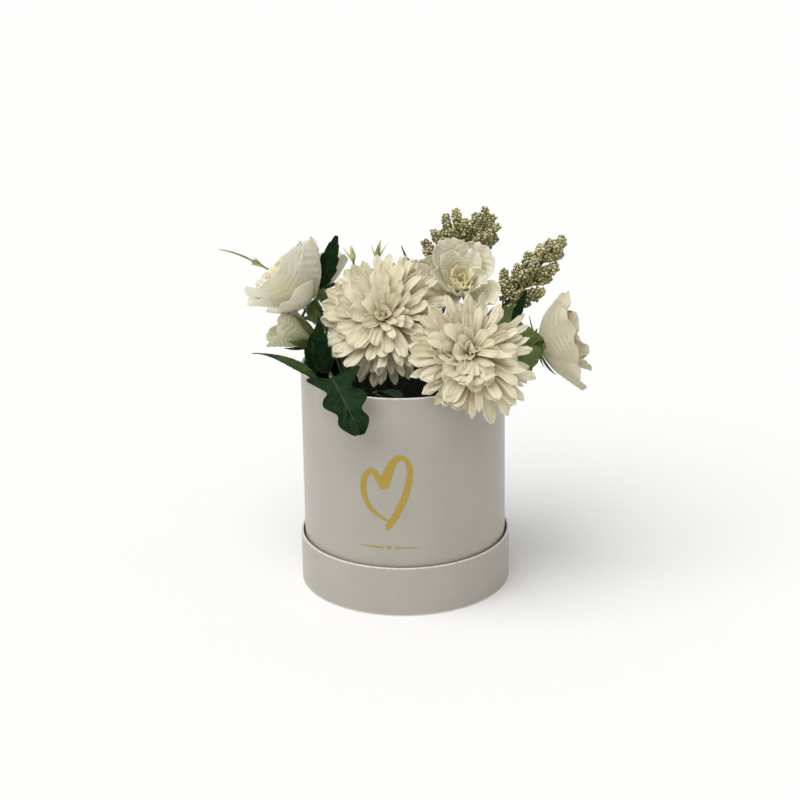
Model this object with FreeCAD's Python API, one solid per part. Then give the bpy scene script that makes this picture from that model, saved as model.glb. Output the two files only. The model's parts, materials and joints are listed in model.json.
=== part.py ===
import FreeCAD, Part
import math
import os

# A round flower box: a paper-covered hat box that stands in its own upturned lid, with a foam block
# that holds fabric mums, roses, berry sprays and leaves.
# Millimetres. The origin is the middle of the lid's underside, Z is up and the front faces -Y.

# Box
BOX_DIAMETER = 150.0
BOX_HEIGHT = 166.0
BOX_BOARD = 1.6
BASE_BOARD = 2.0
PAPER = 0.2
BOX_TURN_IN = 14.0
BOX_TURN_UNDER = 9.0

# Lid, which stands upside down under the box
LID_GAP = 1.3
LID_BOARD = 1.3
LID_FACE_BOARD = 1.6
LID_HEIGHT = 38.0
LID_TURN_IN = 10.0

# Fit of a glued disc in its ring
GLUE_GAP = 0.05

# Foam block and the stems pushed into it
FOAM_DROP = 25.0
FOAM_GAP = 0.5
FOAM_CHAMFER = 4.0
STEM_DEPTH = 55.0
STEM_PLAY = 0.1
KNEE = 6.0
KNEE_UNDER_RIM = 18.0
BEND_RADIUS = 22.0

# Flower heads, which are stacked on a peg
PETAL = 0.5
PETAL_PITCH = 0.75
PEG_RADIUS = 1.2
PEG_PLAY = 0.15
PEG_GRIP = 3.0
CORE_WALL = 0.4
SOCKET_DEPTH = 6.0
STRAIGHT = 12.0

# Mums
MUM_STEM = 2.0
MUM_HUB = 6.0
MUM_CALYX = 11.0
MUM_CORE = 3.6
MUM_CORE_HEIGHT = 9.0
MUM_CUP = 0.16

# Roses
ROSE_STEM = 1.7
ROSE_HUB = 5.5
ROSE_CALYX = 9.0
ROSE_CUP = 0.15
ROSE_HEART = 3.6
ROSE_HEART_HEIGHT = 19.0
BUD_HEART = 2.3
BUD_HEART_HEIGHT = 16.0
SEPAL_LENGTH = 17.0
SEPAL_WIDTH = 5.0
SEPAL_ANGLE = -6.0
SEPAL_CURL = 30.0

# Berry sprays
SPRAY_STEM = 1.3
TWIG = 0.7
BERRY = 1.9
BERRY_BITE = 0.5
BERRY_STEP = 1.5
BERRY_START = 4.6

# Leaves
LEAF = 0.6
LEAF_STALK = 1.0
LEAF_FOLD = 0.28

# Small buds
BUD_STEM = 0.8
BUD_RADIUS = 3.2
BUD_LENGTH = 9.0

# Worked out from the sizes above
BOX_RADIUS = BOX_DIAMETER / 2
TUBE_OUT = BOX_RADIUS - PAPER
TUBE_IN = TUBE_OUT - BOX_BOARD
LINING_IN = TUBE_IN - PAPER
LID_IN = BOX_RADIUS + LID_GAP
LID_RADIUS = LID_IN + PAPER + LID_BOARD + PAPER
LID_FLOOR = PAPER + LID_FACE_BOARD + PAPER
RIM = LID_FLOOR + BOX_HEIGHT
BOX_FLOOR = LID_FLOOR + PAPER + BASE_BOARD + PAPER
FOAM_TOP = RIM - FOAM_DROP
FOAM_RADIUS = LINING_IN - FOAM_GAP
STEM_FOOT = FOAM_TOP - STEM_DEPTH

# Petal outlines: the width at each station from the hub to the tip, as shares of the widest
MUM_STATIONS = (0.0, 0.34, 0.76, 1.0)
MUM_OUTLINE = (0.0, 0.62, 1.0, 0.42)
ROSE_STATIONS = (0.0, 0.32, 0.76, 1.0)
ROSE_OUTLINE = (0.0, 0.68, 1.0, 0.52)
SEPAL_STATIONS = (0.0, 0.35, 1.0)
SEPAL_OUTLINE = (0.0, 1.0, 0.12)

# Petal layers from the back of a head to its middle: petals, start angle, curl, length, width
MUM_LAYERS = (
    (16, 6, -16, 42, 9.4),
    (16, 17, -28, 43, 9.4),
    (14, 31, -34, 42, 9.4),
    (12, 46, -40, 39, 9.0),
    (10, 61, -42, 33, 8.0),
    (8, 78, -30, 23, 6.0),
)
ROSE_LAYERS = (
    (5, 10, 56, 40, 33),
    (5, 36, 46, 35, 26),
    (4, 63, 27, 30, 18),
)
BUD_LAYERS = (
    (4, 64, 15, 31, 17),
    (4, 78, 10, 27, 7),
)

# Outline of the lobed leaf: the width at each station from its stalk to its tip
LOBE_STATIONS = (0.0, 0.06, 0.2, 0.3, 0.38, 0.5, 0.6, 0.68, 0.82, 1.0)
LOBE_OUTLINE = (0.05, 0.25, 0.8, 1.0, 0.42, 0.56, 0.74, 0.32, 0.3, 0.02)

solids = {}


def vec(x, y, z):
    return FreeCAD.Vector(x, y, z)


def unit(x, y, z):
    return vec(x, y, z).normalize()


def keep(name, *shapes):
    """Adds solids to a named node."""
    solids.setdefault(name, []).extend(shapes)


def turned(*points):
    """A solid of revolution about Z through (radius, height) points."""
    outline = [vec(radius, 0, height) for radius, height in points]
    face = Part.Face(Part.makePolygon(outline + outline[:1]))
    return face.revolve(vec(0, 0, 0), vec(0, 0, 1), 360)


def disc(radius, low, high):
    return Part.makeCylinder(radius, high - low, vec(0, 0, low))


def ring(inner, outer, low, high):
    return turned((inner, low), (outer, low), (outer, high), (inner, high))


def closed(faces):
    """A solid from the flat faces that bound it."""
    solid = Part.Solid(Part.Shell(faces))
    if solid.Volume < 0:
        solid.reverse()
    return solid


def flat(*corners):
    return Part.Face(Part.makePolygon(list(corners) + [corners[0]]))


def cells(low_row, high_row):
    """Two triangles for each cell between two rows of points."""
    faces = []
    for k in range(len(low_row) - 1):
        faces.append(flat(low_row[k], low_row[k + 1], high_row[k + 1]))
        faces.append(flat(low_row[k], high_row[k + 1], high_row[k]))
    return faces


def curved_rows(start, angle, curl, length, stations, widths, cup, across):
    """Rows of points over a strip that starts along an angle and curls up towards its tip.

    Each row is cupped: its ends stand above its middle. Returns the rows and their up directions."""
    rows = []
    ups = []
    for share, width in zip(stations, widths):
        turn = math.radians(curl) * share
        first = math.radians(angle)
        chord = length * share * (math.sin(turn / 2) / (turn / 2) if abs(turn) > 1e-9 else 1)
        middle = start + vec(math.cos(first + turn / 2), 0, math.sin(first + turn / 2)) * chord
        up = vec(-math.sin(first + turn), 0, math.cos(first + turn))
        row = []
        for k in range(across):
            side = 2 * k / (across - 1) - 1
            row.append(middle + vec(0, side * width / 2, 0) + up * (cup * width * side * side))
        rows.append(row)
        ups.append(up)
    return rows, ups


def strip_faces(top, ups, thickness):
    """The faces of a strip between its upper rows and the same rows moved down, with a closed tip."""
    low = []
    for row, up in zip(top, ups):
        low.append([point - up * thickness for point in row])
    faces = []
    for i in range(len(top) - 1):
        faces += cells(top[i], top[i + 1])
        faces += cells(low[i], low[i + 1])
        for end in (0, -1):
            faces += cells([top[i][end], low[i][end]], [top[i + 1][end], low[i + 1][end]])
    for k in range(len(top[-1]) - 1):
        faces.append(flat(top[-1][k], top[-1][k + 1], low[-1][k + 1], low[-1][k]))
    return faces, low


def whorl(count, hub, level, angle, curl, length, width, stations, outline, cup, across, spin=0.0):
    """One stamped layer of petals: a hub with a hole for the peg and a petal on each of its sides."""
    half = math.pi / count
    edge = hub * math.cos(half)
    side = 2 * edge * math.tan(half)
    hole = PEG_RADIUS + PEG_PLAY
    base = vec(edge, 0, level)
    widths = [side] + [width * share for share in outline[1:]]
    rows, ups = curved_rows(base, angle, curl, length, stations, widths, cup, across)
    rows[0] = [vec(edge, side * (k / (across - 1) - 0.5), level) for k in range(across)]
    ups[0] = vec(0, 0, 1)
    faces = []
    top_rim = []
    low_rim = []
    hole_top = []
    for i in range(count):
        turn = FreeCAD.Rotation(vec(0, 0, 1), spin + 360.0 * i / count)
        petal = [[turn.multVec(point) for point in row] for row in rows]
        petal_faces, low = strip_faces(petal, [turn.multVec(up) for up in ups], PETAL)
        faces += petal_faces
        top_rim += petal[0][:-1]
        low_rim += low[0][:-1]
        corner = vec(hole, -hole * math.tan(half), level)
        hole_top.append(turn.multVec(corner))
    hole_low = [point - vec(0, 0, PETAL) for point in hole_top]
    for rim, inner in ((top_rim, hole_top), (low_rim, hole_low)):
        outer_wire = Part.makePolygon(rim + rim[:1])
        inner_wire = Part.makePolygon(inner + inner[:1])
        faces.append(Part.Face(outer_wire).cut(Part.Face(inner_wire)).Faces[0])
    for i in range(count):
        j = (i + 1) % count
        faces.append(flat(hole_top[i], hole_top[j], hole_low[j], hole_low[i]))
    return closed(faces)


def placed(shape, seat, facing, spin=0.0):
    """Turns a head, built along Z, to face a direction at its seat."""
    moved = shape.copy()
    turn = FreeCAD.Rotation(vec(0, 0, 1), facing).multiply(FreeCAD.Rotation(vec(0, 0, 1), spin))
    moved.Placement = FreeCAD.Placement(seat, turn)
    return moved


def tube(points, radius):
    """A round bar along straight runs joined by tangent arcs."""
    edges = []
    start = points[0]
    length = 0.0
    for i in range(1, len(points) - 1):
        before = points[i] - points[i - 1]
        after = points[i + 1] - points[i]
        turn = before.getAngle(after)
        room = 0.45 * min(before.Length, after.Length) / math.tan(turn / 2)
        bend = min(max(BEND_RADIUS, 3 * radius / math.tan(turn / 2)), room)
        reach = bend * math.tan(turn / 2)
        before.normalize()
        after.normalize()
        inward = (after - before).normalize()
        arc_start = points[i] - before * reach
        arc_end = points[i] + after * reach
        arc_middle = points[i] + inward * (bend / math.cos(turn / 2) - bend)
        edges.append(Part.LineSegment(start, arc_start).toShape())
        edges.append(Part.Arc(arc_start, arc_middle, arc_end).toShape())
        length += (arc_start - start).Length + bend * turn
        start = arc_end
    edges.append(Part.LineSegment(start, points[-1]).toShape())
    length += (points[-1] - start).Length
    heading = points[1] - points[0]
    profile = Part.Wire(Part.makeCircle(radius, points[0], heading))
    bar = Part.Wire(edges).makePipeShell([profile], True, False)
    share = bar.Volume / (math.pi * radius * radius * length)
    if abs(share - 1) > 0.01:
        print("tube volume is off by", share)
    return bar


foam_holes = []


def rooted(entry, radius, knee):
    """The foot and the knee of a stem whose hole is at a share of the foam's radius."""
    x = entry[0] * FOAM_RADIUS
    y = entry[1] * FOAM_RADIUS
    foam_holes.append((x, y, radius))
    return [vec(x, y, STEM_FOOT), vec(x, y, max(FOAM_TOP + KNEE, RIM - knee))]


def stem(entry, seat, facing, radius, straight=STRAIGHT, knee=KNEE_UNDER_RIM):
    """A stem from its hole in the foam to a seat that it meets along the seat's own direction."""
    return tube(rooted(entry, radius, knee) + [seat - facing * straight, seat], radius)


def calyx(stem_radius, hub, height, layers):
    """The green cup under a head, with a socket for the stem and a peg for the petal layers."""
    socket = stem_radius + STEM_PLAY
    peg = layers * PETAL_PITCH + PEG_GRIP
    floor = SOCKET_DEPTH - height
    return turned(
        (socket, -height),
        (socket + 0.8, -height),
        (socket + 1.4, -0.55 * height),
        (0.85 * hub, -0.15 * height),
        (0.85 * hub, 0),
        (PEG_RADIUS, 0),
        (PEG_RADIUS, peg),
        (0, peg),
        (0, floor),
        (socket, floor),
    )


def core(radius, height, layers):
    """The button or rolled bud that closes a head on top of its peg."""
    low = layers * PETAL_PITCH + PEG_PLAY
    bore = PEG_RADIUS + PEG_PLAY
    roof = low + PEG_GRIP
    return turned(
        (bore, low),
        (bore + CORE_WALL, low),
        (radius, low + 0.4 * height),
        (0.8 * radius, low + 0.75 * height),
        (0.3 * radius, low + height),
        (0, low + height),
        (0, roof),
        (bore, roof),
    )


def next_hub(hub, count):
    """The largest hub that sits inside the straight sides of the layer below."""
    return hub * math.cos(math.pi / count) - PEG_PLAY


def level(layer):
    """Height of the top of a layer's hub above the calyx."""
    return layer * PETAL_PITCH + PETAL + (PETAL_PITCH - PETAL) / 2


def mum(name, entry, seat, facing, share):
    """A mum: six layers of channelled petals that arch outwards. The share sets the size of its petals."""
    layers = []
    hub = MUM_HUB
    for i, (count, angle, curl, length, width) in enumerate(MUM_LAYERS):
        spin = 180.0 / count * (i % 2) + 5 * i
        layer = whorl(count, hub, level(i), angle, curl, length * share, width * share,
                      MUM_STATIONS, MUM_OUTLINE, MUM_CUP, 3, spin)
        layers.append(placed(layer, seat, facing))
        hub = next_hub(hub, count)
    button = core(MUM_CORE, MUM_CORE_HEIGHT, len(layers))
    cup = calyx(MUM_STEM, MUM_HUB, MUM_CALYX, len(layers))
    keep(name + "_outer_petals", *layers[:3])
    keep(name + "_inner_petals", *layers[3:], placed(button, seat, facing))
    keep(name + "_calyx", placed(cup, seat, facing))
    foot = seat - facing * (MUM_CALYX - SOCKET_DEPTH)
    keep(name + "_stem", stem(entry, foot, facing, MUM_STEM, MUM_CALYX + STRAIGHT))


def rose(name, entry, seat, facing, share, spin=0.0, lift=0.0, knee=KNEE_UNDER_RIM, bud=False):
    """A rose or a bud: sepals, cupped petal layers and a rolled middle. The lift closes its petals."""
    table = BUD_LAYERS if bud else ROSE_LAYERS
    sepals = whorl(5, ROSE_HUB, level(0), SEPAL_ANGLE, SEPAL_CURL, SEPAL_LENGTH * share, SEPAL_WIDTH,
                   SEPAL_STATIONS, SEPAL_OUTLINE, 0, 2, spin)
    layers = []
    hub = ROSE_HUB
    for i, (count, angle, curl, length, width) in enumerate(table):
        layer = whorl(count, hub, level(i + 1), angle + lift / (i + 1), curl, length * share, width * share,
                      ROSE_STATIONS, ROSE_OUTLINE, ROSE_CUP, 5, spin + 180.0 / count * (i % 2))
        layers.append(placed(layer, seat, facing))
        hub = next_hub(hub, count)
    stacked = len(layers) + 1
    if bud:
        middle = core(BUD_HEART, BUD_HEART_HEIGHT * share, stacked)
    else:
        middle = core(ROSE_HEART, ROSE_HEART_HEIGHT * share, stacked)
    cup = calyx(ROSE_STEM, ROSE_HUB, ROSE_CALYX, stacked)
    keep(name + "_outer_petals", *layers[:2])
    keep(name + "_heart", *layers[2:], placed(middle, seat, facing))
    keep(name + "_calyx", placed(cup, seat, facing), placed(sepals, seat, facing))
    foot = seat - facing * (ROSE_CALYX - SOCKET_DEPTH)
    keep(name + "_stem", stem(entry, foot, facing, ROSE_STEM, ROSE_CALYX + STRAIGHT, knee))


def toothed(width, teeth, tooth):
    """Stations and widths of a leaf with teeth along both edges."""
    count = 2 * teeth + 1
    stations = [i / count for i in range(count + 1)]
    widths = []
    for i, share in enumerate(stations):
        swell = math.sin(math.pi * share ** 0.75) ** 0.8 if 0 < share < 1 else 0
        notch = 1 + tooth if i % 2 else 1 - tooth
        widths.append(width * swell * notch)
    return stations, widths


def lobed(width):
    """Stations and widths of a leaf with two pairs of lobes."""
    return LOBE_STATIONS, [width * share for share in LOBE_OUTLINE]


def leaf(name, entry, base, heading, face, length, outline, bend):
    """A leaf, folded along its midrib and bent along its length, on a stalk from the foam."""
    stations, widths = outline
    widths = [max(1.6 * (1 - share) + 0.5, width) for share, width in zip(stations, widths)]
    rows, ups = curved_rows(vec(0, 0, 0), 0, bend, length, stations, widths, LEAF_FOLD / 2, 3)
    faces, low = strip_faces(rows, ups, LEAF)
    first = rows[0]
    for k in range(2):
        faces.append(flat(first[k], first[k + 1], low[0][k + 1], low[0][k]))
    blade = closed(faces)
    across = face.cross(heading).normalize()
    up = heading.cross(across)
    turn = FreeCAD.Rotation(heading, across, up, "XZY")
    blade.Placement = FreeCAD.Placement(base + heading * STEM_PLAY + up * (LEAF / 2), turn)
    keep(name, blade, stem(entry, base, heading, LEAF_STALK))


def berry(middle, spin):
    """A small eight-sided bead."""
    turn = FreeCAD.Rotation(unit(1, 2, 3), spin)
    arms = [turn.multVec(arm) * BERRY for arm in (vec(1, 0, 0), vec(0, 1, 0), vec(0, 0, 1))]
    faces = []
    for a in (-1, 1):
        for b in (-1, 1):
            for c in (-1, 1):
                faces.append(flat(middle + arms[0] * a, middle + arms[1] * b, middle + arms[2] * c))
    return closed(faces)


def berry_twig(start, heading, length, spin):
    """A six-sided twig with berries moulded round it in a spiral and one at its tip."""
    frame = FreeCAD.Rotation(vec(0, 0, 1), heading)
    corners = []
    for i in range(6):
        angle = math.radians(60 * i + spin)
        corners.append(start + frame.multVec(vec(TWIG * math.cos(angle), TWIG * math.sin(angle), 0)))
    twig = flat(*corners).extrude(heading * length)
    beads = [berry(start + heading * (length + BERRY * (1 - BERRY_BITE)), spin)]
    stand = TWIG + BERRY * (1 - BERRY_BITE)
    for i in range(int((length - BERRY_START) / BERRY_STEP)):
        angle = math.radians(137.5 * i + spin)
        offset = frame.multVec(vec(math.cos(angle), math.sin(angle), 0)) * stand
        beads.append(berry(start + heading * (BERRY_START + BERRY_STEP * i) + offset, 53.0 * i + spin))
    return twig.multiFuse(beads)


def spray(name, entry, low, high, twigs):
    """A berry spray: a stem whose last run carries berry twigs, each leaning off it, and one at its tip."""
    path = rooted(entry, SPRAY_STEM, KNEE_UNDER_RIM) + [low, high]
    keep(name + "_stem", tube(path, SPRAY_STEM))
    run = high - low
    along = run / run.Length
    side = along.cross(vec(0, 1, 0)).normalize()
    back = along.cross(side)
    for share, around, lean, length in twigs:
        angle = math.radians(around)
        tilt = math.radians(lean)
        out = side * math.cos(angle) + back * math.sin(angle)
        heading = along * math.cos(tilt) + out * math.sin(tilt)
        if lean:
            clear = (SPRAY_STEM + STEM_PLAY) / math.sin(tilt) + TWIG / math.tan(tilt)
            start = low + run * share + heading * clear
        else:
            start = high + along * STEM_PLAY
        keep(name + "_berries", berry_twig(start, heading, length, around))


def small_bud(name, entry, seat, facing, tail):
    """A small closed bud on a thin stalk, which can end in a drawn-out tip."""
    body = turned(
        (0, 0),
        (BUD_STEM, 0),
        (BUD_RADIUS, 0.45 * BUD_LENGTH),
        (0.7 * BUD_RADIUS, 0.8 * BUD_LENGTH),
        (0.35 * BUD_RADIUS, BUD_LENGTH),
        (0.12 * BUD_RADIUS, BUD_LENGTH + tail),
        (0, BUD_LENGTH + tail),
    )
    keep(name, placed(body, seat, facing), stem(entry, seat - facing * STEM_PLAY, facing, BUD_STEM))


def above(x, y, height):
    """A place at a height above the box's rim."""
    return vec(x, y, RIM + height)


def over_wall(bearing, out, height):
    """A place at a distance out from the box's wall, by its bearing in degrees from the front."""
    angle = math.radians(bearing)
    reach = BOX_RADIUS + out
    return above(reach * math.sin(angle), -reach * math.cos(angle), height)


# The lid, upside down: its face on the floor and its band standing up round the box
keep("lid_face_paper", disc(LID_RADIUS, 0, PAPER))
keep("lid_disc", disc(LID_IN + PAPER - GLUE_GAP, PAPER, PAPER + LID_FACE_BOARD))
keep("lid_lining", disc(LID_IN - GLUE_GAP, PAPER + LID_FACE_BOARD, LID_FLOOR))
keep("lid_band", ring(LID_IN + PAPER, LID_RADIUS - PAPER, PAPER, LID_HEIGHT - PAPER))
keep("lid_wrap", turned(
    (LID_RADIUS - PAPER, PAPER),
    (LID_RADIUS, PAPER),
    (LID_RADIUS, LID_HEIGHT),
    (LID_IN, LID_HEIGHT),
    (LID_IN, LID_HEIGHT - LID_TURN_IN),
    (LID_IN + PAPER, LID_HEIGHT - LID_TURN_IN),
    (LID_IN + PAPER, LID_HEIGHT - PAPER),
    (LID_RADIUS - PAPER, LID_HEIGHT - PAPER),
))

# The box, standing on the lid's floor
base_low = LID_FLOOR + PAPER
base_high = base_low + BASE_BOARD
keep("box_tube", ring(TUBE_IN, TUBE_OUT, base_low, RIM - PAPER))
keep("box_base", disc(TUBE_IN - GLUE_GAP, base_low, base_high))
keep("box_base_paper", disc(BOX_RADIUS - BOX_TURN_UNDER - GLUE_GAP, LID_FLOOR, base_low))
keep("box_floor_paper", disc(LINING_IN - GLUE_GAP, base_high, BOX_FLOOR))
keep("box_lining", ring(LINING_IN, TUBE_IN, base_high, RIM - BOX_TURN_IN))
keep("box_wrap", turned(
    (BOX_RADIUS - BOX_TURN_UNDER, LID_FLOOR),
    (BOX_RADIUS, LID_FLOOR),
    (BOX_RADIUS, RIM),
    (LINING_IN, RIM),
    (LINING_IN, RIM - BOX_TURN_IN),
    (TUBE_IN, RIM - BOX_TURN_IN),
    (TUBE_IN, RIM - PAPER),
    (TUBE_OUT, RIM - PAPER),
    (TUBE_OUT, base_low),
    (BOX_RADIUS - BOX_TURN_UNDER, base_low),
))

# The flowers
mum("mum_front", (-0.14, 0.19), above(-12.5, -8, 36), unit(-0.08, -0.86, 0.50), 1.0)
mum("mum_rim", (0.47, -0.36), over_wall(43, -2, 22), unit(0.28, -0.75, 0.60), 0.97)
rose("rose_top", (0.53, 0.58), above(42, 33, 44), unit(0.10, -0.58, 0.81), 0.84, 20)
rose("rose_left", (-0.55, 0.0), above(-66, 23, 41), unit(-0.64, 0.10, 0.76), 1.2, 46, 14)
rose("rose_right", (0.69, 0.03), above(99, 0, 11), unit(0.95, 0.10, 0.25), 1.12, 36, knee=6)
rose("rose_back", (-0.36, 0.36), above(-62, 62, 36), unit(-0.35, 0.70, 0.62), 0.72)
rose("bud_left", (-0.58, -0.18), above(-63.5, -4, 19), unit(-0.91, 0.05, 0.40), 1.1, 44, bud=True)

# The berry sprays: each twig's share of the run, its bearing round it, its lean and its length
spray("spray_back", (0.28, 0.72), above(38, 58, 46), above(56, 58, 80), (
    (0.08, 0, 75, 30),
    (0.15, 180, 48, 28),
    (0.36, 90, 36, 13),
    (0.32, 0, 55, 30),
    (0.42, 180, 45, 20),
    (0.50, 270, 44, 18),
    (0.58, 0, 40, 32),
    (0.70, 180, 42, 16),
    (1.00, 0, 0, 18),
))
spray("spray_right", (0.72, 0.28), above(70, 20, 30), above(112, 20, 80), (
    (0.22, 0, 50, 18),
    (0.26, 180, 50, 20),
    (0.42, 50, 44, 17),
    (0.46, 230, 44, 19),
    (0.60, 330, 42, 16),
    (0.64, 150, 42, 17),
    (0.80, 20, 38, 13),
    (0.84, 200, 38, 14),
    (1.00, 0, 0, 11),
))

# The leaves: hole, base, heading, face, length, outline, bend
leaf("leaf_up", (-0.63, 0.39), above(-60.5, 43.5, 44), unit(0.30, 0, 0.95), unit(0, -1, 0.1),
     42, toothed(15, 5, 0.12), -12)
leaf("leaf_rim", (-0.46, -0.64), over_wall(-46, -4, 7), unit(0.15, -0.8, 0.1), unit(-0.1, -0.3, 0.9),
     58, lobed(46), -80)
leaf("leaf_left", (-0.62, -0.40), above(-60, -38, 1), unit(-0.75, 0, 0.66), unit(0.3, -0.7, 0.6),
     60, toothed(8, 5, 0.12), -60)
leaf("leaf_right", (0.76, -0.15), above(64, -18, 12), unit(0.75, -0.1, 0.45), unit(0, -0.9, 0.35),
     40, toothed(38, 5, 0.08), -35)
leaf("leaf_small", (0.66, 0.17), above(60, 9, 24), unit(0.85, 0.1, 0.5), unit(0, -0.8, 0.6),
     26, toothed(13, 4, 0.12), -15)
leaf("leaf_blade", (0.84, 0.12), above(80, 4, 24), unit(0.35, 0.05, 0.93), unit(-0.3, -0.9, 0.2),
     32, toothed(7, 2, 0.05), 12)
leaf("leaf_dark_low", (-0.48, -0.36), above(-53, -26, 3), unit(-0.45, -0.25, 0.85), unit(0.4, -0.8, 0.3),
     30, toothed(17, 4, 0.14), 15)
leaf("leaf_dark_high", (-0.76, -0.18), above(-64, -25.5, 2), unit(-0.06, 0, 1), unit(0.2, -0.95, 0.1),
     28, toothed(12, 4, 0.12), 8)
leaf("leaf_mouth", (-0.19, -0.33), above(-18, -34, -10), unit(0.45, -0.75, 0.35), unit(0, 0.3, 0.9),
     34, toothed(18, 4, 0.12), -30)
leaf("leaf_back_low", (0.11, 0.61), above(10, 52, 6), unit(0.1, 0.85, 0.5), unit(0, -0.5, 0.85),
     56, toothed(26, 4, 0.14), -80)
leaf("leaf_back_side", (-0.61, 0.64), above(-52, 52, 6), unit(-0.55, 0.65, 0.5), unit(0.3, -0.4, 0.85),
     50, toothed(22, 4, 0.14), -70)

# The small buds between the flowers
small_bud("bud_tail", (-0.50, 0.42), above(-104, 58, 58), unit(-0.85, -0.05, 0.52), 26)
small_bud("bud_pale_left", (-0.41, 0.12), above(-35, 26, 70), unit(-0.1, 0, 0.99), 3)
small_bud("bud_pale_middle", (-0.12, 0.52), above(-18, 42, 66), unit(0.1, 0, 0.99), 3)
small_bud("bud_green", (0.14, 0.36), above(7, 26, 64), unit(-0.35, 0, 0.93), 10)

# The foam block, with a hole for each stem
foam = turned(
    (0, BOX_FLOOR),
    (FOAM_RADIUS, BOX_FLOOR),
    (FOAM_RADIUS, FOAM_TOP - FOAM_CHAMFER),
    (FOAM_RADIUS - FOAM_CHAMFER, FOAM_TOP),
    (0, FOAM_TOP),
)
holes = []
for x, y, radius in foam_holes:
    holes.append(Part.makeCylinder(radius + STEM_PLAY, STEM_DEPTH + 1, vec(x, y, STEM_FOOT)))
keep("foam_block", foam.cut(Part.makeCompound(holes)))

os.makedirs("parts", exist_ok=True)
for name, shapes in solids.items():
    shape = shapes[0] if len(shapes) == 1 else Part.makeCompound(shapes)
    shape.exportStep("parts/" + name + ".step")
    if not shape.isValid():
        print(name, "is not valid")
    print(name, len(shape.Solids), "solids", round(shape.Volume), "mm3")
print(len(solids), "nodes")
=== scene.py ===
"""Dresses a round flower box: paper covers, a gold heart, fabric mums and roses, berry sprays and leaves."""

import json
import math
import random
from functools import partial

import bpy
import numpy as np
from bpy.props import FloatProperty, FloatVectorProperty, IntProperty, PointerProperty
from mathutils import Matrix, Vector


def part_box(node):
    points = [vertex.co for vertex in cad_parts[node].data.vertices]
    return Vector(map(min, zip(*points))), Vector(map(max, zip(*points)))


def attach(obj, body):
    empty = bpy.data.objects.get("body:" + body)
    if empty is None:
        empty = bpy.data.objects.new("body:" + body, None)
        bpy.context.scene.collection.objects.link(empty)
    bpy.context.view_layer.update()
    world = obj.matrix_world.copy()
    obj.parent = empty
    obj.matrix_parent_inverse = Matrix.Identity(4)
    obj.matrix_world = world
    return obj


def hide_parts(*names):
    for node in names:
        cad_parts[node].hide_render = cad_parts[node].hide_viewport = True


bl_info = {
    "name": "Flower box",
    "version": (1, 0, 0),
    "blender": (4, 5, 0),
    "location": "View3D > Sidebar > Flower box",
    "description": "Paper covers, gold heart, fabric flowers, berry sprays and leaves of a round flower box",
    "category": "Object",
}

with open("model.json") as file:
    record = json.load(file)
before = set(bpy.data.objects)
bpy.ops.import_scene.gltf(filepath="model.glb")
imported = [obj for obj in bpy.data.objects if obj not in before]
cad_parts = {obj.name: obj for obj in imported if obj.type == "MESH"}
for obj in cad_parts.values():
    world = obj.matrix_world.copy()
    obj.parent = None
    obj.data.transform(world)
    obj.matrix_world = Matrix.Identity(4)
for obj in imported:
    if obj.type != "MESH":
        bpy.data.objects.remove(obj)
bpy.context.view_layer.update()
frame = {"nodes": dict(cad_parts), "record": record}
MM = 0.001

# Places that come from the frame, in metres
BOX_LOW, BOX_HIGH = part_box("box_wrap")
LID_LOW, LID_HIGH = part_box("lid_wrap")
TUBE_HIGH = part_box("box_tube")[1]
LINING_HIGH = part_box("box_lining")[1]
RIM = BOX_HIGH.z
PAPER = BOX_HIGH.z - TUBE_HIGH.z

# Sizes of the paper, the foil and the stage, in metres
TURN_UNDER = 0.009
LID_WALL = 0.0017
LID_TURN_IN = 0.010
LAP_RISE = 0.00014
LAP_PAPER = 0.0001
STROKE_RISE = 0.00003
WELD = 1e-6
FLOOR_SIZE = 16
SENSOR_WIDTH = 36  # of the camera, in millimetres

# Bearings of the glued laps from the front, in degrees
BOX_LAP_BEARING = 168
LID_LAP_BEARING = 172

# Divisions of each flat cut, along it and across it
LAP_CUT = (1, 12)
FOIL_CUT = (90, 4)
MUM_CUT = (16, 12)
ROSE_CUT = (52, 24)
SEPAL_CUT = (10, 4)
BUD_SEPAL_CUT = (12, 4)
LEAF_CUT = (48, 14)

# Facets round the moulded pieces
CUP_STEPS = 24
BUD_STEPS = 20
TWIG_STEPS = 8


def srgb(red, green, blue):
    """A colour of the screen, 0 to 255, as Blender's linear values."""
    values = []
    for level in (red, green, blue):
        share = level / 255
        values.append(share / 12.92 if share <= 0.04045 else ((share + 0.055) / 1.055) ** 2.4)
    return tuple(values)


def colour(name, description, *levels):
    return FloatVectorProperty(
        name=name, description=description, subtype="COLOR", min=0, max=1, default=srgb(*levels)
    )


def amount(name, description, default, **more):
    return FloatProperty(name=name, description=description, default=default, **more)


def length(name, description, default):
    return amount(name, description, default, unit="LENGTH", min=0)


def position(name, description, *default):
    return FloatVectorProperty(
        name=name, description=description, subtype="TRANSLATION", unit="LENGTH", default=default
    )


class PaperSettings(bpy.types.PropertyGroup):
    """Sizes and colours of the box, the lid and the foil."""

    paper: colour("Paper", "Pearl covering paper", 173, 167, 157)
    # Paler paper at the folded edges: partly wear, partly a painted highlight along the rims.
    worn_and_highlight: colour("Worn edge", "Paper where it is folded over an edge", 226, 222, 213)
    board: colour("Board", "Grey board under the paper", 150, 145, 136)
    lining: colour("Lining", "Lining paper inside the box", 16, 17, 15)
    foam: colour("Foam", "Dry floral foam", 20, 28, 18)
    gold: colour("Gold", "Gold foil", 180, 155, 72)
    edge: length("Edge", "Rounding of a folded paper edge", 0.0005)
    lap: length("Lap", "Width of the glued lap at the back", 0.012)
    foil: length("Foil", "Height of the foil over the paper", 0.00008)
    steps: IntProperty(name="Steps", description="Facets round the box", default=160, min=24)


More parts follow.
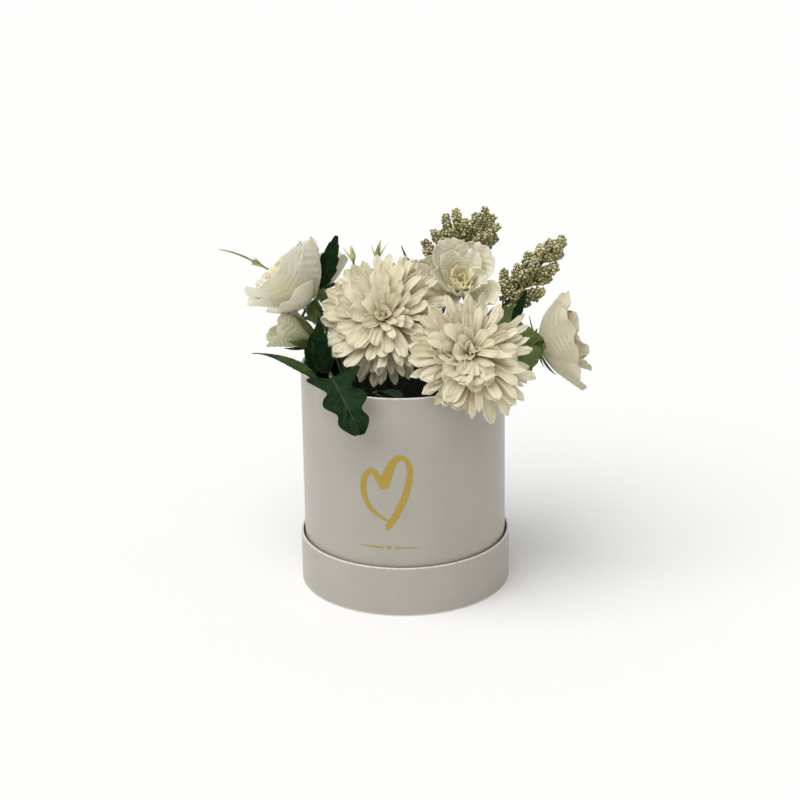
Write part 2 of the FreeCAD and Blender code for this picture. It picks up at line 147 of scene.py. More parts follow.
class FlowerSettings(bpy.types.PropertyGroup):
    """Colours and cloth of the mums, the roses and the bud."""

    cream: colour("Cream", "Mum petals", 238, 230, 202)
    # Partly painted shade: the mum petals darken towards the middle of the head.
    cream_deep_and_shade: colour("Deep cream", "Mum petals near the middle", 172, 146, 86)
    white: colour("White", "Rose petals", 241, 237, 218)
    white_deep: colour("Warm white", "Rose petals near the middle", 234, 216, 156)
    heart: colour("Heart", "Petals in the middle of a rose", 246, 238, 204)
    # Painted shade: a darker, warmer white for the rose at the right, standing in for the shade over it.
    painted_shade_white: colour("Shaded white", "Petals of the rose at the right", 211, 204, 176)
    bud: colour("Bud", "Petals of the bud", 216, 214, 184)
    bud_deep: colour("Bud base", "Petals of the bud near the calyx", 138, 142, 86)
    cloth: length("Cloth", "Thickness of a petal", 0.00035)


class GreenSettings(bpy.types.PropertyGroup):
    """Colours and sizes of the leaves, the stems and the berries."""

    dark: colour("Dark leaf", "Upper side of the dark leaves", 24, 46, 22)
    dark_vein: colour("Dark leaf veins", "Veins of the dark leaves", 62, 88, 52)
    mid: colour("Green leaf", "Upper side of the lighter leaves", 88, 102, 58)
    olive: colour("Olive leaf", "Upper side of the narrow leaf", 50, 70, 32)
    mid_vein: colour("Green leaf veins", "Veins of the lighter leaves", 104, 130, 78)
    stem: colour("Stem", "Calyxes, twigs and stalks", 84, 108, 52)
    wire: colour("Wire", "Stems in the foam", 46, 62, 32)
    pale: colour("Pale bud", "Small closed buds", 214, 214, 156)
    shoot: colour("Shoot", "Thin shoot at the left", 142, 148, 90)
    berry: colour("Berry", "Berries", 168, 162, 98)
    # Partly a painted highlight: the cream that lies on the berries' upward faces.
    frost_and_highlight: colour("Frost", "Frosted side of the berries", 244, 237, 200)
    cloth: length("Cloth", "Thickness of a leaf", 0.0004)
    bead: length("Bead", "Radius of a berry", 0.0013)


class StageSettings(bpy.types.PropertyGroup):
    """Camera, lamp, even light and floor."""

    lens: amount("Lens", "Focal length", 107.6, subtype="DISTANCE_CAMERA")
    place: position("Place", "Where the camera stands", -0.0024, -1.6532, 0.7607)
    tilt: amount("Tilt", "Tilt up from straight down", 1.2111, subtype="ANGLE")
    roll: amount("Roll", "Roll about the view", -0.0152, subtype="ANGLE")
    key: amount("Key", "Strength of the soft lamp from above", 2.0)
    softness: amount("Softness", "Width of the soft lamp", 1.0, subtype="ANGLE")
    lamp: position("Lamp", "Where the soft lamp stands", -0.5, -0.5, 1.45)
    aim: position("Aim", "Where the soft lamp points", 0, 0, 0.15)
    sky: amount("Sky", "Strength of the even light all round", 0.47)
    floor: colour("Floor", "Floor under the box", 251, 251, 250)


def settings():
    return bpy.context.scene.flower_box


# Meshes


def alone(*pieces):
    """Makes these the only selected objects, with the first one active."""
    bpy.ops.object.select_all(action="DESELECT")
    for piece in pieces:
        piece.select_set(True)
    bpy.context.view_layer.objects.active = pieces[0]
    return pieces[0]


def primitive(kind, **values):
    """Adds one of Blender's plain shapes, with nothing else selected."""
    bpy.ops.object.select_all(action="DESELECT")
    getattr(bpy.ops.mesh, f"primitive_{kind}_add")(**values)
    return bpy.context.object


def joined(name, pieces):
    result = alone(*pieces)
    if len(pieces) > 1:
        bpy.ops.object.join()
    result.name = name
    result.data.name = name
    return result


def modified(piece, kind, **values):
    """Adds a modifier and applies it."""
    alone(piece)
    bpy.ops.object.modifier_add(type=kind)
    modifier = piece.modifiers[-1]
    for key, value in values.items():
        setattr(modifier, key, value)
    bpy.ops.object.modifier_apply(modifier=modifier.name)


def smooth(piece, angle):
    alone(piece)
    bpy.ops.object.shade_smooth_by_angle(angle=math.radians(angle))


def coated(piece, material):
    piece.data.materials.clear()
    piece.data.materials.append(material)


def dress(piece, body, slot=None, *nodes):
    """Puts a piece on its body, in place of the nodes that it stands for."""
    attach(piece, body)
    if nodes:
        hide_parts(*nodes)


def mesh_points(piece):
    flat = np.empty(len(piece.data.vertices) * 3)
    piece.data.vertices.foreach_get("co", flat)
    return flat.reshape(-1, 3)


def toned(piece):
    """Gives a shape the tone that tells one of its copies from the next."""
    piece.data.attributes.new("tone", "FLOAT", "POINT")
    return piece


def cut_cloth(along, across):
    """A flat grid to shape petals, leaves, laps and strokes from."""
    return toned(primitive("grid", x_subdivisions=across, y_subdivisions=along, size=1, calc_uvs=True))


def cut_places(cut):
    """Where each point of a cut lies: from -1 to 1 across it and from 0 to 1 along it."""
    flat = mesh_points(cut)
    return 2 * flat[:, 0], flat[:, 1] + 0.5


def laid(cut, points, tone=0.5):
    """A copy of a cut with its points moved to their places."""
    mesh = cut.data.copy()
    mesh.vertices.foreach_set("co", np.asarray(points, float).ravel())
    mesh.attributes["tone"].data.foreach_set("value", np.full(len(mesh.vertices), tone))
    mesh.update()
    return linked("cut", mesh)


def linked(name, mesh):
    piece = bpy.data.objects.new(name, mesh)
    bpy.context.collection.objects.link(piece)
    return piece


def dropped(*pieces):
    for piece in pieces:
        bpy.data.objects.remove(piece)


def lathe(name, outline, steps):
    """A closed ring turned about Z from its outline of (radius, height) points."""
    piece = primitive("plane", size=1)
    mesh = piece.data
    mesh.clear_geometry()
    count = len(outline)
    edges = [(i, (i + 1) % count) for i in range(count)]
    mesh.from_pydata([(radius, 0, height) for radius, height in outline], edges, [])
    bpy.ops.object.mode_set(mode="EDIT")
    bpy.ops.mesh.select_all(action="SELECT")
    bpy.ops.mesh.spin(steps=steps, angle=math.tau, center=(0, 0, 0), axis=(0, 0, 1))
    bpy.ops.mesh.select_all(action="SELECT")
    bpy.ops.mesh.remove_doubles(threshold=WELD)
    bpy.ops.mesh.normals_make_consistent(inside=False)
    bpy.ops.object.mode_set(mode="OBJECT")
    piece.name = name
    return piece


def corner(middle, radius, start, end, steps=4):
    """Points of a rounded corner, from one angle to another in degrees."""
    points = []
    for i in range(steps + 1):
        angle = math.radians(start + (end - start) * i / steps)
        points.append((middle[0] + radius * math.cos(angle), middle[1] + radius * math.sin(angle)))
    return points


def folded(outer, inner, top, turn_in, edge):
    """Outline of paper over a rim: its rounded folds, down inside and back on the paper's other side."""
    return [
        *corner((outer - edge, top - edge), edge, 0, 90),
        *corner((inner + edge, top - edge), edge, 90, 180),
        (inner, turn_in),
        (inner + PAPER, turn_in),
        (inner + PAPER, top - PAPER),
        (outer - PAPER, top - PAPER),
    ]


def on_wall(bearing, height, radius):
    """Points on a round wall, by their bearings from the front."""
    return np.column_stack((radius * np.sin(bearing), -radius * np.cos(bearing), height))


# Outlines, tips and reliefs of petals and leaves, by shares across them and along them


def eased(share):
    share = np.clip(share, 0, 1)
    return share * share * (3 - 2 * share)


def spline(knots, values, places):
    """A smooth curve through values at rising knots."""
    slopes = np.gradient(values, knots)
    spot = np.clip(np.searchsorted(knots, places, side="right") - 1, 0, len(knots) - 2)
    step = knots[spot + 1] - knots[spot]
    t = (places - knots[spot]) / step
    low, high = values[spot], values[spot + 1]
    a = slopes[spot] * step
    b = slopes[spot + 1] * step
    return ((2 * t ** 3 - 3 * t ** 2 + 1) * low + (t ** 3 - 2 * t ** 2 + t) * a
            + (3 * t ** 2 - 2 * t ** 3) * high + (t ** 3 - t ** 2) * b)


def round_tip(along, start, tip):
    """Narrows an outline from its start to a rounded end."""
    return np.sqrt(np.clip(1 - (np.clip(along - start, 0, None) / tip) ** 2, 0.02, 1))


def spoon(along):
    """Outline of a mum's petal: narrow at its foot, widest near its tip."""
    return (0.4 + 0.6 * eased(along / 0.66)) * round_tip(along, 0.87, 0.132)


def fan(along):
    """Outline of a rose's petal, which is broad at its tip."""
    return (0.26 + 0.74 * np.sin(np.clip(along / 0.72, 0, 1) * math.pi / 2)) * round_tip(along, 0.7, 0.42)


def blade(along):
    """Outline of a plain leaf or sepal, pointed at both ends."""
    return np.clip(np.sin(math.pi * np.clip(along, 0, 1) ** 0.75), 0.01, 1) ** 1.05


def toothed(teeth, depth):
    """Outline of a leaf with teeth that point forward."""
    def outline(along):
        wave = (along * teeth) % 1.0
        return blade(along) * (1 + depth * (1.6 * wave - 0.8) * np.clip(along * 5, 0, 1))
    return outline


def slender(along):
    """Outline of a narrow leaf with small teeth, which runs out to a long thin tip."""
    swell = np.sin(math.pi * np.clip(along, 0, 1) ** 0.55) ** 2.2
    return np.clip(swell * (0.94 + 0.12 * ((along * 12) % 1.0)), 0.03, 1.1)


def lobed(along):
    """Outline of a leaf with two pairs of pointed lobes."""
    shares = np.array((0, 0.08, 0.2, 0.27, 0.38, 0.5, 0.57, 0.66, 0.78, 0.86, 0.93, 1.0))
    widths = np.array((0.08, 0.6, 1.0, 0.8, 0.46, 0.72, 0.78, 0.44, 0.52, 0.36, 0.16, 0.02))
    return np.clip(spline(shares, widths, np.clip(along, 0, 1)), 0.02, 1.1)


def smooth_tip(across):
    """Rounded end of a petal."""
    return 1 - 0.12 * across ** 2


def pointed_tip(across):
    """End of a petal that runs to a point, a little frayed."""
    return 1 - 0.22 * np.abs(across) ** 1.2 + 0.008 * np.cos(15 * math.pi * across)


def wavy_tip(across):
    """Rounded end of a petal with waves in its edge."""
    return 1 - 0.10 * across ** 2 + 0.02 * np.cos(4.3 * math.pi * across)


def mum_tip(across):
    """End of a mum's petal, with faint notches."""
    return 1 - 0.015 * (1 - np.cos(3 * math.pi * across))


def forward(across):
    """Draws the edges of a leaf forward, so that its teeth point to its tip."""
    return 1 + 0.08 * np.abs(across)


def creased(depth, folds, phase):
    """Lengthwise folds in the cloth of a petal, which run out to its tip."""
    def relief(across, along):
        return depth * np.clip(along * 2.5, 0, 1) * np.cos(folds * math.pi * across + phase)
    return relief


def rose_veins(across, along, depth):
    """Embossed veins of a rose's petal: a middle vein and ribs that run off it."""
    off = np.abs(across)
    window = np.clip(along * 4 - 0.6, 0, 1) * np.clip((1 - along) * 6, 0, 1) * np.clip((1 - off) * 3, 0, 1)
    middle = np.exp(-(across * 12) ** 2)
    ribs = 0.5 + 0.5 * np.cos(math.tau * (9 * along - 3.2 * off + 0.25 * np.sin(5 * across + 7 * along)))
    return -depth * window * (middle + ribs * np.clip(off * 5, 0, 1))


def leaf_veins(across, along, depth):
    """Relief of a leaf: a sunk midrib with the cloth swelling between its side veins."""
    off = np.abs(across)
    swell = np.abs(np.sin(math.pi * (7 * along - 1.8 * off)))
    window = np.clip((1 - off) * 3, 0, 1) * np.clip(along * 6, 0, 1) * np.clip((1 - along) * 5, 0, 1)
    return depth * (window * swell - 0.8 * np.exp(-(across * 9) ** 2))


# Petals and leaves, in millimetres


def middle_line(size, rise, curl, flare, steps=32):
    """How a petal's middle line runs out and up: its share, reach, height and slope."""
    share = np.linspace(0, 1, steps + 1)
    slope = np.radians(rise + curl * share - flare * share ** 4)
    half = (slope[1:] + slope[:-1]) / 2
    reach = np.concatenate(([0], np.cumsum(np.cos(half)))) * size / steps
    height = np.concatenate(([0], np.cumsum(np.sin(half)))) * size / steps
    return share, reach, height, slope


def petal(places, size, width, rise, curl, outline, flare=0, channel=(60, 20), tip=None,
          ruffle=(0, 1, 0), veins=None, sweep=0, twist=0):
    """Points of a petal that starts at the origin and runs out along X, with Z up."""
    across, along = places
    share, reach, height, slope = middle_line(size, rise, curl, flare)
    run = along * tip(across) if tip else along
    out = np.interp(run, share, reach)
    up = np.interp(run, share, height)
    lean = np.interp(run, share, slope)
    # The cross-section is an arc, which the ruffle and the veins then lift
    half = width / 2 * outline(along)
    bend = np.radians(channel[0] + (channel[1] - channel[0]) * along)
    side = half * np.sin(bend * across) / bend
    lift = half * (1 - np.cos(bend * across)) / bend
    depth, waves, phase = ruffle
    edge = np.clip(along, 0, 1) ** 3
    lift = lift + depth * edge * np.sin(waves * math.pi * across + phase)
    lift = lift + depth * 0.7 * np.abs(across) ** 3 * np.sin(waves * 4 * along + 1.7 * phase)
    if veins:
        lift = lift + veins(across, along)
    turn = np.radians(twist) * along
    side, lift = side * np.cos(turn) - lift * np.sin(turn), side * np.sin(turn) + lift * np.cos(turn)
    side = side + sweep * along ** 2
    return np.column_stack((out - np.sin(lean) * lift, side, up + np.cos(lean) * lift))


def turned_out(points, hub, level, bearing):
    """Moves a petal out to its hub and turns it to its bearing round the head, in degrees."""
    angle = math.radians(bearing)
    out = points[:, 0] + hub
    x = out * math.cos(angle) - points[:, 1] * math.sin(angle)
    y = out * math.sin(angle) + points[:, 1] * math.cos(angle)
    return np.column_stack((x, y, points[:, 2] + level))


def head_place(seat, facing):
    """The matrix that sets a head, made along Z in millimetres, on its seat."""
    turn = Vector((0, 0, 1)).rotation_difference(Vector(facing).normalized())
    return Matrix.Translation(seat) @ turn.to_matrix().to_4x4() @ Matrix.Scale(MM, 4)


def leaf_place(base, heading, face):
    """The matrix that sets a leaf, made along X in millimetres, on its base."""
    ahead = Vector(heading).normalized()
    across = Vector(face).normalized().cross(ahead).normalized()
    turn = Matrix((ahead, across, ahead.cross(across))).transposed()
    return Matrix.Translation(base) @ turn.to_4x4() @ Matrix.Scale(MM, 4)


def set_in(place, points):
    matrix = np.array(place)
    return points @ matrix[:3, :3].T + matrix[:3, 3]


def above(x, y, height):
    """A place in millimetres, with its height over the rim of the box."""
    return Vector((x * MM, y * MM, RIM + height * MM))


def over_wall(bearing, out, height):
    """A place by its bearing from the front, its distance out from the wall and its height over the rim."""
    angle = math.radians(bearing)
    reach = BOX_HIGH.x / MM + out
    return above(reach * math.sin(angle), -reach * math.cos(angle), height)


# Materials


class Nodes:
    """The nodes of a material or of the world, built up one by one."""

    def __init__(self, tree):
        self.tree = tree

    def feed(self, socket, value):
        """Sets a socket to a value, or links it to another socket."""
        if isinstance(value, bpy.types.NodeSocket):
            self.tree.links.new(value, socket)
        else:
            socket.default_value = value

    def add(self, kind, **values):
        """Adds a node. Capitalised names are its inputs, and the rest are its own settings."""
        node = self.tree.nodes.new("ShaderNode" + kind)
        for key, value in values.items():
            if key[0].isupper():
                self.feed(node.inputs[key.replace("_", " ")], value)
            else:
                setattr(node, key, value)
        return node

    def maths(self, operation, *values):
        node = self.add("Math", operation=operation)
        for socket, value in zip(node.inputs, values):
            self.feed(socket, value)
        return node.outputs[0]

    def times(self, first, second):
        return self.maths("MULTIPLY", first, second)

    def apart(self, first, second):
        """The distance between two values."""
        return self.maths("ABSOLUTE", self.maths("SUBTRACT", first, second))

    def ramp(self, source, low, high, least=0.0, most=1.0):
        """Stretches a value between two limits to the range from the least to the most."""
        node = self.add("MapRange", Value=source, From_Min=low, From_Max=high, To_Min=least, To_Max=most)
        return node.outputs["Result"]

    def blend(self, share, first, second):
        """Mixes two colours, each a socket or three values, by a share."""
        node = self.add("Mix", data_type="RGBA", Factor=share)
        for socket, value in zip(node.inputs[6:8], (first, second)):
            self.feed(socket, value if isinstance(value, bpy.types.NodeSocket) else (*value, 1))
        return node.outputs[2]

    def noise(self, source, scale, detail=3.0, rough=0.5):
        return self.add("TexNoise", Vector=source, Scale=scale, Detail=detail, Roughness=rough).outputs["Fac"]

    def places(self, kind="Object"):
        return self.add("TexCoord").outputs[kind]

    def split(self, source):
        return self.add("SeparateXYZ", Vector=source).outputs

    def tone(self):
        """The tone that tells one petal, leaf or berry from the next."""
        return self.add("Attribute", attribute_name="tone").outputs["Fac"]


class Finish(Nodes):
    """A material with a Principled shader, whose steady values stand on its own sockets."""

    def __init__(self, name, **values):
        self.material = bpy.data.materials.new(name)
        self.material.use_nodes = True
        super().__init__(self.material.node_tree)
        self.inputs = self.tree.nodes["Principled BSDF"].inputs
        for key, value in values.items():
            self.inputs[key.replace("_", " ")].default_value = value

    def done(self, base, height, depth, rough=None):
        """Links the colour, the relief with its depth and the roughness where it varies."""
        self.feed(self.inputs["Base Color"], base)
        self.feed(self.inputs["Normal"], self.add("Bump", Distance=depth, Height=height).outputs["Normal"])
        if rough is not None:
            self.feed(self.inputs["Roughness"], rough)
        return self.material


def shade(tone, share):
    """A colour made darker or lighter."""
    return [min(1, level * share) for level in tone]


def paper_finish(name, tone, worn_and_highlight, edges):
    """Satin pearl paper with faint fibres, paler where it is folded over an edge at one of the heights: worn
    paper and a painted highlight along the fold.
    """
    finish = Finish(name, Roughness=0.36, Specular_IOR_Level=0.45, Coat_Weight=0.12, Coat_Roughness=0.25)
    places = finish.places()
    cloud = finish.noise(places, 28, 2)
    fibre = finish.noise(places, 2600)
    base = finish.blend(finish.ramp(cloud, 0.3, 0.7), shade(tone, 0.965), shade(tone, 1.03))
    base = finish.blend(finish.ramp(fibre, 0.62, 0.85), base, worn_and_highlight)
    height = finish.split(places)["Z"]
    # Painted highlight, partly wear: the paper turns paler near each folded edge.
    wear_and_highlight = finish.ramp(finish.noise(places, 420), 0.15, 0.5)
    for edge in edges:
        near = finish.ramp(finish.apart(height, edge), 0.0011, 0.0002)
        base = finish.blend(finish.times(near, wear_and_highlight), base, worn_and_highlight)
    return finish.done(base, fibre, 0.00002, finish.ramp(cloud, 0.3, 0.7, 0.33, 0.41))


def grained(name, tone, grain, limits, shades, depth, rough=None, **values):
    """A finish whose grain runs between two shades of its tone and stands up as its relief."""
    finish = Finish(name, **values)
    field = finish.noise(finish.places(), *grain)
    low, high = (shade(tone, share) for share in shades)
    base = finish.blend(finish.ramp(field, *limits), low, high)
    return finish.done(base, field, depth, finish.ramp(field, 0.3, 0.7, *rough) if rough else None)


def board_finish(name, tone):
    """Grey board with flecks of recycled fibre."""
    return grained(name, tone, (900, 4, 0.7), (0.35, 0.7), (0.7, 1), 0.00006, Roughness=0.85)


def matt_finish(name, tone):
    """Dull dark paper with faint fibres."""
    return grained(name, tone, (2200,), (0.3, 0.7), (0.8, 1.2), 0.00003,
                   Roughness=0.9, Specular_IOR_Level=0.1)


def gold_finish(name, tone):
    """Hot-stamped gold foil, a little uneven."""
    return grained(name, tone, (700, 4), (0.3, 0.7), (0.84, 1), 0.00002, (0.34, 0.46),
                   Metallic=0.75, Roughness=0.4)


def foam_finish(name, tone):
    """Dry floral foam: fine open cells, painted darker in their pits as shade."""
    finish = Finish(name, Roughness=0.95, Specular_IOR_Level=0.1)
    cells = finish.add("TexVoronoi", Vector=finish.places(), Scale=1500)
    pits_and_shade = finish.ramp(cells.outputs["Distance"], 0.1, 0.6)
    return finish.done(finish.blend(pits_and_shade, shade(tone, 0.4), tone), pits_and_shade, 0.0002)


def petal_finish(name, tip, foot, depth, groove_shade=0.0):
    """Matt petal cloth: deeper at its foot, with fine veins along it, a weave, and ribs of painted shade that
    darken the grooves of the pressed veins.
    """
    finish = Finish(name, Roughness=0.58, Sheen_Weight=0.15, Sheen_Roughness=0.5, Subsurface_Weight=0.25,
                    Subsurface_Scale=0.001, Subsurface_Radius=(1.0, 0.75, 0.45))
    flat = finish.places("UV")
    across, along, _ = finish.split(flat)
    streak = finish.noise(finish.add("Mapping", Vector=flat, Scale=(22, 2.2, 1)).outputs["Vector"], 1.0)
    weave = finish.noise(finish.places(), 3200, 2)
    cloud = finish.noise(finish.places(), 90, 2)
    away = finish.apart(across, 0.5)
    slant = finish.maths("SUBTRACT", finish.times(along, 9), finish.times(away, 6.4))
    wave = finish.maths("COSINE", finish.times(slant, math.tau))
    # Painted shade in the grooves of the pressed veins, along the same ribs as the relief.
    groove_shade_mask = finish.times(finish.ramp(wave, 0.0, 1.0), finish.ramp(away, 0.45, 0.15))
    groove_shade_mask = finish.times(groove_shade_mask, finish.ramp(cloud, 0.35, 0.65))
    base = finish.blend(finish.ramp(along, depth, 0.0), tip, foot)
    base = finish.blend(finish.times(finish.ramp(streak, 0.45, 0.75), 0.18), base, foot)
    base = finish.blend(finish.times(groove_shade_mask, groove_shade), base, shade(foot, 0.7))
    base = finish.blend(finish.times(finish.ramp(cloud, 0.4, 0.75), 0.15), base, foot)
    base = finish.blend(finish.times(finish.tone(), 0.15), base, shade(tip, 0.88))
    return finish.done(base, finish.maths("ADD", streak, finish.times(weave, 0.35)), 0.00025)


def leaf_finish(name, upper, vein_tone, ribs=7):
    """Printed leaf cloth: a pale midrib, side veins and a waxy finish."""
    finish = Finish(name, Roughness=0.5, Specular_IOR_Level=0.07)
    across, along, _ = finish.split(finish.places("UV"))
    away = finish.apart(across, 0.5)
    slant = finish.maths("SUBTRACT", along, finish.times(away, 0.5))
    wave = finish.maths("SINE", finish.times(slant, ribs * math.tau))
    side = finish.times(finish.ramp(wave, 0.86, 1.0), finish.ramp(away, 0.48, 0.1))
    veins = finish.maths("MAXIMUM", finish.ramp(away, 0.035, 0.012), finish.times(side, 0.55))
    cloud = finish.noise(finish.places(), 110)
    grain = finish.noise(finish.places(), 1800)
    base = finish.blend(finish.ramp(cloud, 0.3, 0.7), shade(upper, 0.5), shade(upper, 1.4))
    base = finish.blend(finish.times(finish.tone(), 0.4), base, shade(upper, 1.5))
    base = finish.blend(finish.times(veins, 0.6), base, vein_tone)
    relief = finish.maths("ADD", finish.times(veins, -0.8), finish.times(grain, 0.3))
    return finish.done(base, relief, 0.0003, finish.ramp(cloud, 0.3, 0.7, 0.4, 0.55))


def stem_finish(name, tone):
    """Moulded green plastic with a faint grain."""
    finish = Finish(name, Roughness=0.5)
    places = finish.places()
    cloud = finish.noise(places, 160)
    base = finish.blend(finish.ramp(cloud, 0.3, 0.7), shade(tone, 0.7), shade(tone, 1.15))
    return finish.done(base, finish.noise(places, 1500), 0.0001)


def berry_finish(name, tone, frost_and_highlight):
    """Olive berries, each with its own tone, with cream on their upward faces: partly frost, partly a painted
    highlight.
    """
    finish = Finish(name, Roughness=0.5)
    own = finish.tone()
    cloud = finish.noise(finish.places(), 900, 2)
    # Painted highlight, partly frost: cream on the faces that point up.
    upward = finish.split(finish.add("NewGeometry").outputs["Normal"])["Z"]
    top = finish.times(finish.ramp(upward, -0.1, 0.8), finish.ramp(own, 0.0, 0.6))
    base = finish.blend(own, shade(tone, 0.4), tone)
    base = finish.blend(finish.times(top, finish.ramp(cloud, 0.25, 0.6)), base, frost_and_highlight)
    return finish.done(base, cloud, 0.0001)


# Tables of this arrangement

# Mums: seat, facing, share of the full size, seed, how far the middle stands off to one side, and the bearing
# of the broader petals
MUMS = {
    "mum_front": (above(-12.5, -8, 36), (-0.08, -0.86, 0.50), 1.0, 3, 0, 150),
    "mum_rim": (over_wall(43, -2, 22), (0.28, -0.75, 0.60), 0.97, 8, -7, 225),
}
# Rings of a mum from its back to its middle: petals, rise, curl, length, width
MUM_RINGS = (
    (26, 0, -18, 44, 7.0),
    (24, 10, -24, 45, 7.4),
    (20, 20, -30, 44, 7.8),
    (18, 31, -38, 42, 8.4),
    (16, 42, -44, 40, 9.0),
    (13, 52, -50, 36, 9.4),
    (10, 62, -54, 31, 9.2),
    (8, 72, -56, 25, 8.0),
    (5, 84, -30, 15, 6.0),
    (3, 92, 30, 10, 4.5),
)
MUM_OUTER_RINGS = 5

# Roses and the bud: seat, facing, share of the full size, turn about the stem, lift of the outer petals
ROSES = {
    "rose_top": (above(42, 33, 44), (0.10, -0.58, 0.81), 0.84, 20, 0),
    "rose_left": (above(-66, 23, 41), (-0.64, 0.10, 0.76), 1.2, 46, 14),
    "rose_right": (above(99, 0, 11), (0.95, 0.10, 0.25), 1.12, 36, 0),
    "rose_back": (above(-62, 62, 36), (-0.35, 0.70, 0.62), 0.72, 0, 0),
}
BUD = (above(-63.5, -4, 19), (-0.91, 0.05, 0.40), 1.1, 44, 0)
ROSE_SEED = 20
BUD_SEED = 40
# How the edge of each rose runs, how deep it waves, the share of the full height of its heart, how deep its
# veins are pressed, and the petals that differ from their ring: the ring and the petal in it, then the shares
# of length, width and flare, a lift and a turn
ROSE_EDGES = {
    "rose_top": (wavy_tip, 1.7, 0.7, 0.7, {
        (0, 0): (1.05, 1.15, 1, 8, 32),
        (0, 1): (1.05, 1.2, 1, 10, 18),
        (0, 3): (1.12, 1.25, 1, -8, -6),
        (0, 4): (1, 1, 1, 0, 14),
    }),
    "rose_left": (smooth_tip, 1.0, 1.0, 1.25, {
        (0, 3): (0.95, 1.15, 1, -24, -8),
        (1, 2): (1.26, 2.0, 1, -8, 34),
    }),
    "rose_right": (pointed_tip, 1.5, 1.0, 0.85, {
        (0, 2): (1.0, 1.25, 0.2, 4, 8),
        (0, 3): (0.97, 1.35, 0.4, 2, 0),
    }),
    "rose_back": (wavy_tip, 1.2, 1.0, 0.7, {}),
    "bud_left": (smooth_tip, 0.6, 1.0, 0.9, {}),
}
LIKE_ITS_RING = (1, 1, 1, 0, 0)
# Rings of a rose and of the bud: petals, rise, curl, flare, length, width
ROSE_RINGS = (
    (5, 10, 60, 40, 40, 36),
    (5, 34, 52, 44, 35, 30),
    (4, 60, 36, 46, 30, 22),
    (3, 76, 16, 20, 23, 13),
)
ROSE_OUTER_RINGS = 2
BUD_RINGS = (
    (4, 64, 15, 18, 31, 21),
    (4, 76, 10, 10, 26, 14),
)
BUD_OUTER_RINGS = 1

# How the rings of a head are stacked: radius and height of the first ring's feet, then how much narrower and
# how much higher each ring is than the one before
MUM_STACK = (5.2, 1.0, 0.5, 0.7)
ROSE_STACK = (4.4, 1.2, 1.0, 0.8)
LEAST_HUB = 0.8

# How the petals are formed: turn of each ring of a mum and depth of its creases, waves in the edge of a rose
MUM_RING_TURN = 7
MUM_CREASE = 0.36
ROSE_WAVES = 2.4

# Cups under the heads: radius, depth and radius of the stem in it
MUM_CUP = (6.0, 11.0, 2.1)
ROSE_CUP = (5.5, 9.0, 1.8)
STEM_SOCKET = 6
PEG_HOLE = 0.3
# Sepals of the roses and of the bud: rise, curl, length, width
OPEN_SEPALS = (-6, 30, 17, 5.4)
SEPALS = {"bud_left": (44, 26, 20, 7.0), "rose_left": (-34, 24, 23, 8.0)}
# How sepals vary: their number, radius and height of their feet, bend across foot and tip, then the limits of
# chance for share of the length, rise, curl, sweep, twist and bearing
ROSE_SEPALS = (5, (4.2, 0.3), (50, 20), (0.9, 1.2), (-5, 5), (-16, 20), (-2, 2), (-20, 20), None)
BUD_SEPALS = (4, (0.9, 0.6), (50, 30), (0.8, 1.1), (-8, 8), (-20, 20), (-1.5, 1.5), None, (-20, 20))

# Leaves: base, heading, face, length, width, outline, bend, fold, sweep to one side, finish
LEAVES = {
    "leaf_up": (
        above(-60.5, 43.5, 44), (0.30, 0, 0.95), (0, -1, 0.1), 42, 15, toothed(5, 0.14), -12, 34, 0, "dark"),
    "leaf_rim": (
        over_wall(-46, -4, 7), (0.15, -0.8, 0.1), (-0.1, -0.3, 0.9), 58, 46, lobed, -80, 60, 6, "dark"),
    "leaf_left": (
        above(-60, -38, 1), (-0.75, 0, 0.66), (0.3, -0.7, 0.6), 60, 8, slender, -72, 34, 0, "olive"),
    "leaf_right": (
        above(64, -18, 12), (0.80, -0.1, 0.20), (0, -0.9, 0.35), 40, 44, toothed(8, 0.06), -35, 34, 0, "mid"),
    "leaf_small": (
        above(60, 9, 24), (0.85, 0.1, 0.5), (0, -0.8, 0.6), 28, 17, toothed(4, 0.12), -15, 34, 0, "mid"),
    "leaf_blade": (
        above(80, 4, 24), (0.35, 0.05, 0.93), (-0.3, -0.9, 0.2), 32, 7, toothed(2, 0.05), 12, 34, 0, "dark"),
    "leaf_dark_low": (
        above(-53, -26, 3), (-0.45, -0.25, 0.85), (0.4, -0.8, 0.3),
        30, 17, toothed(4, 0.16), 15, 34, 0, "dark"),
    "leaf_dark_high": (
        above(-64, -25.5, 2), (0.10, 0, 1), (0.2, -0.95, 0.1), 40, 19, toothed(4, 0.14), 8, 34, 0, "dark"),
    "leaf_mouth": (
        above(-18, -34, -10), (0.45, -0.75, 0.35), (0, 0.3, 0.9),
        34, 18, toothed(4, 0.14), -30, 34, 0, "dark"),
    "leaf_back_low": (
        above(10, 52, 6), (0.1, 0.85, 0.5), (0, -0.5, 0.85), 56, 26, toothed(4, 0.16), -80, 34, 0, "dark"),
    "leaf_back_side": (
        above(-52, 52, 6), (-0.55, 0.65, 0.5), (0.3, -0.4, 0.85),
        50, 22, toothed(4, 0.16), -70, 34, 0, "dark"),
}

# Depths of the waves and the veins of a leaf as shares of its width, and the share of its fold at its tip
LEAF_RUFFLE = 0.045
LEAF_RELIEF = 0.028
LEAF_TIP_FOLD = 0.65

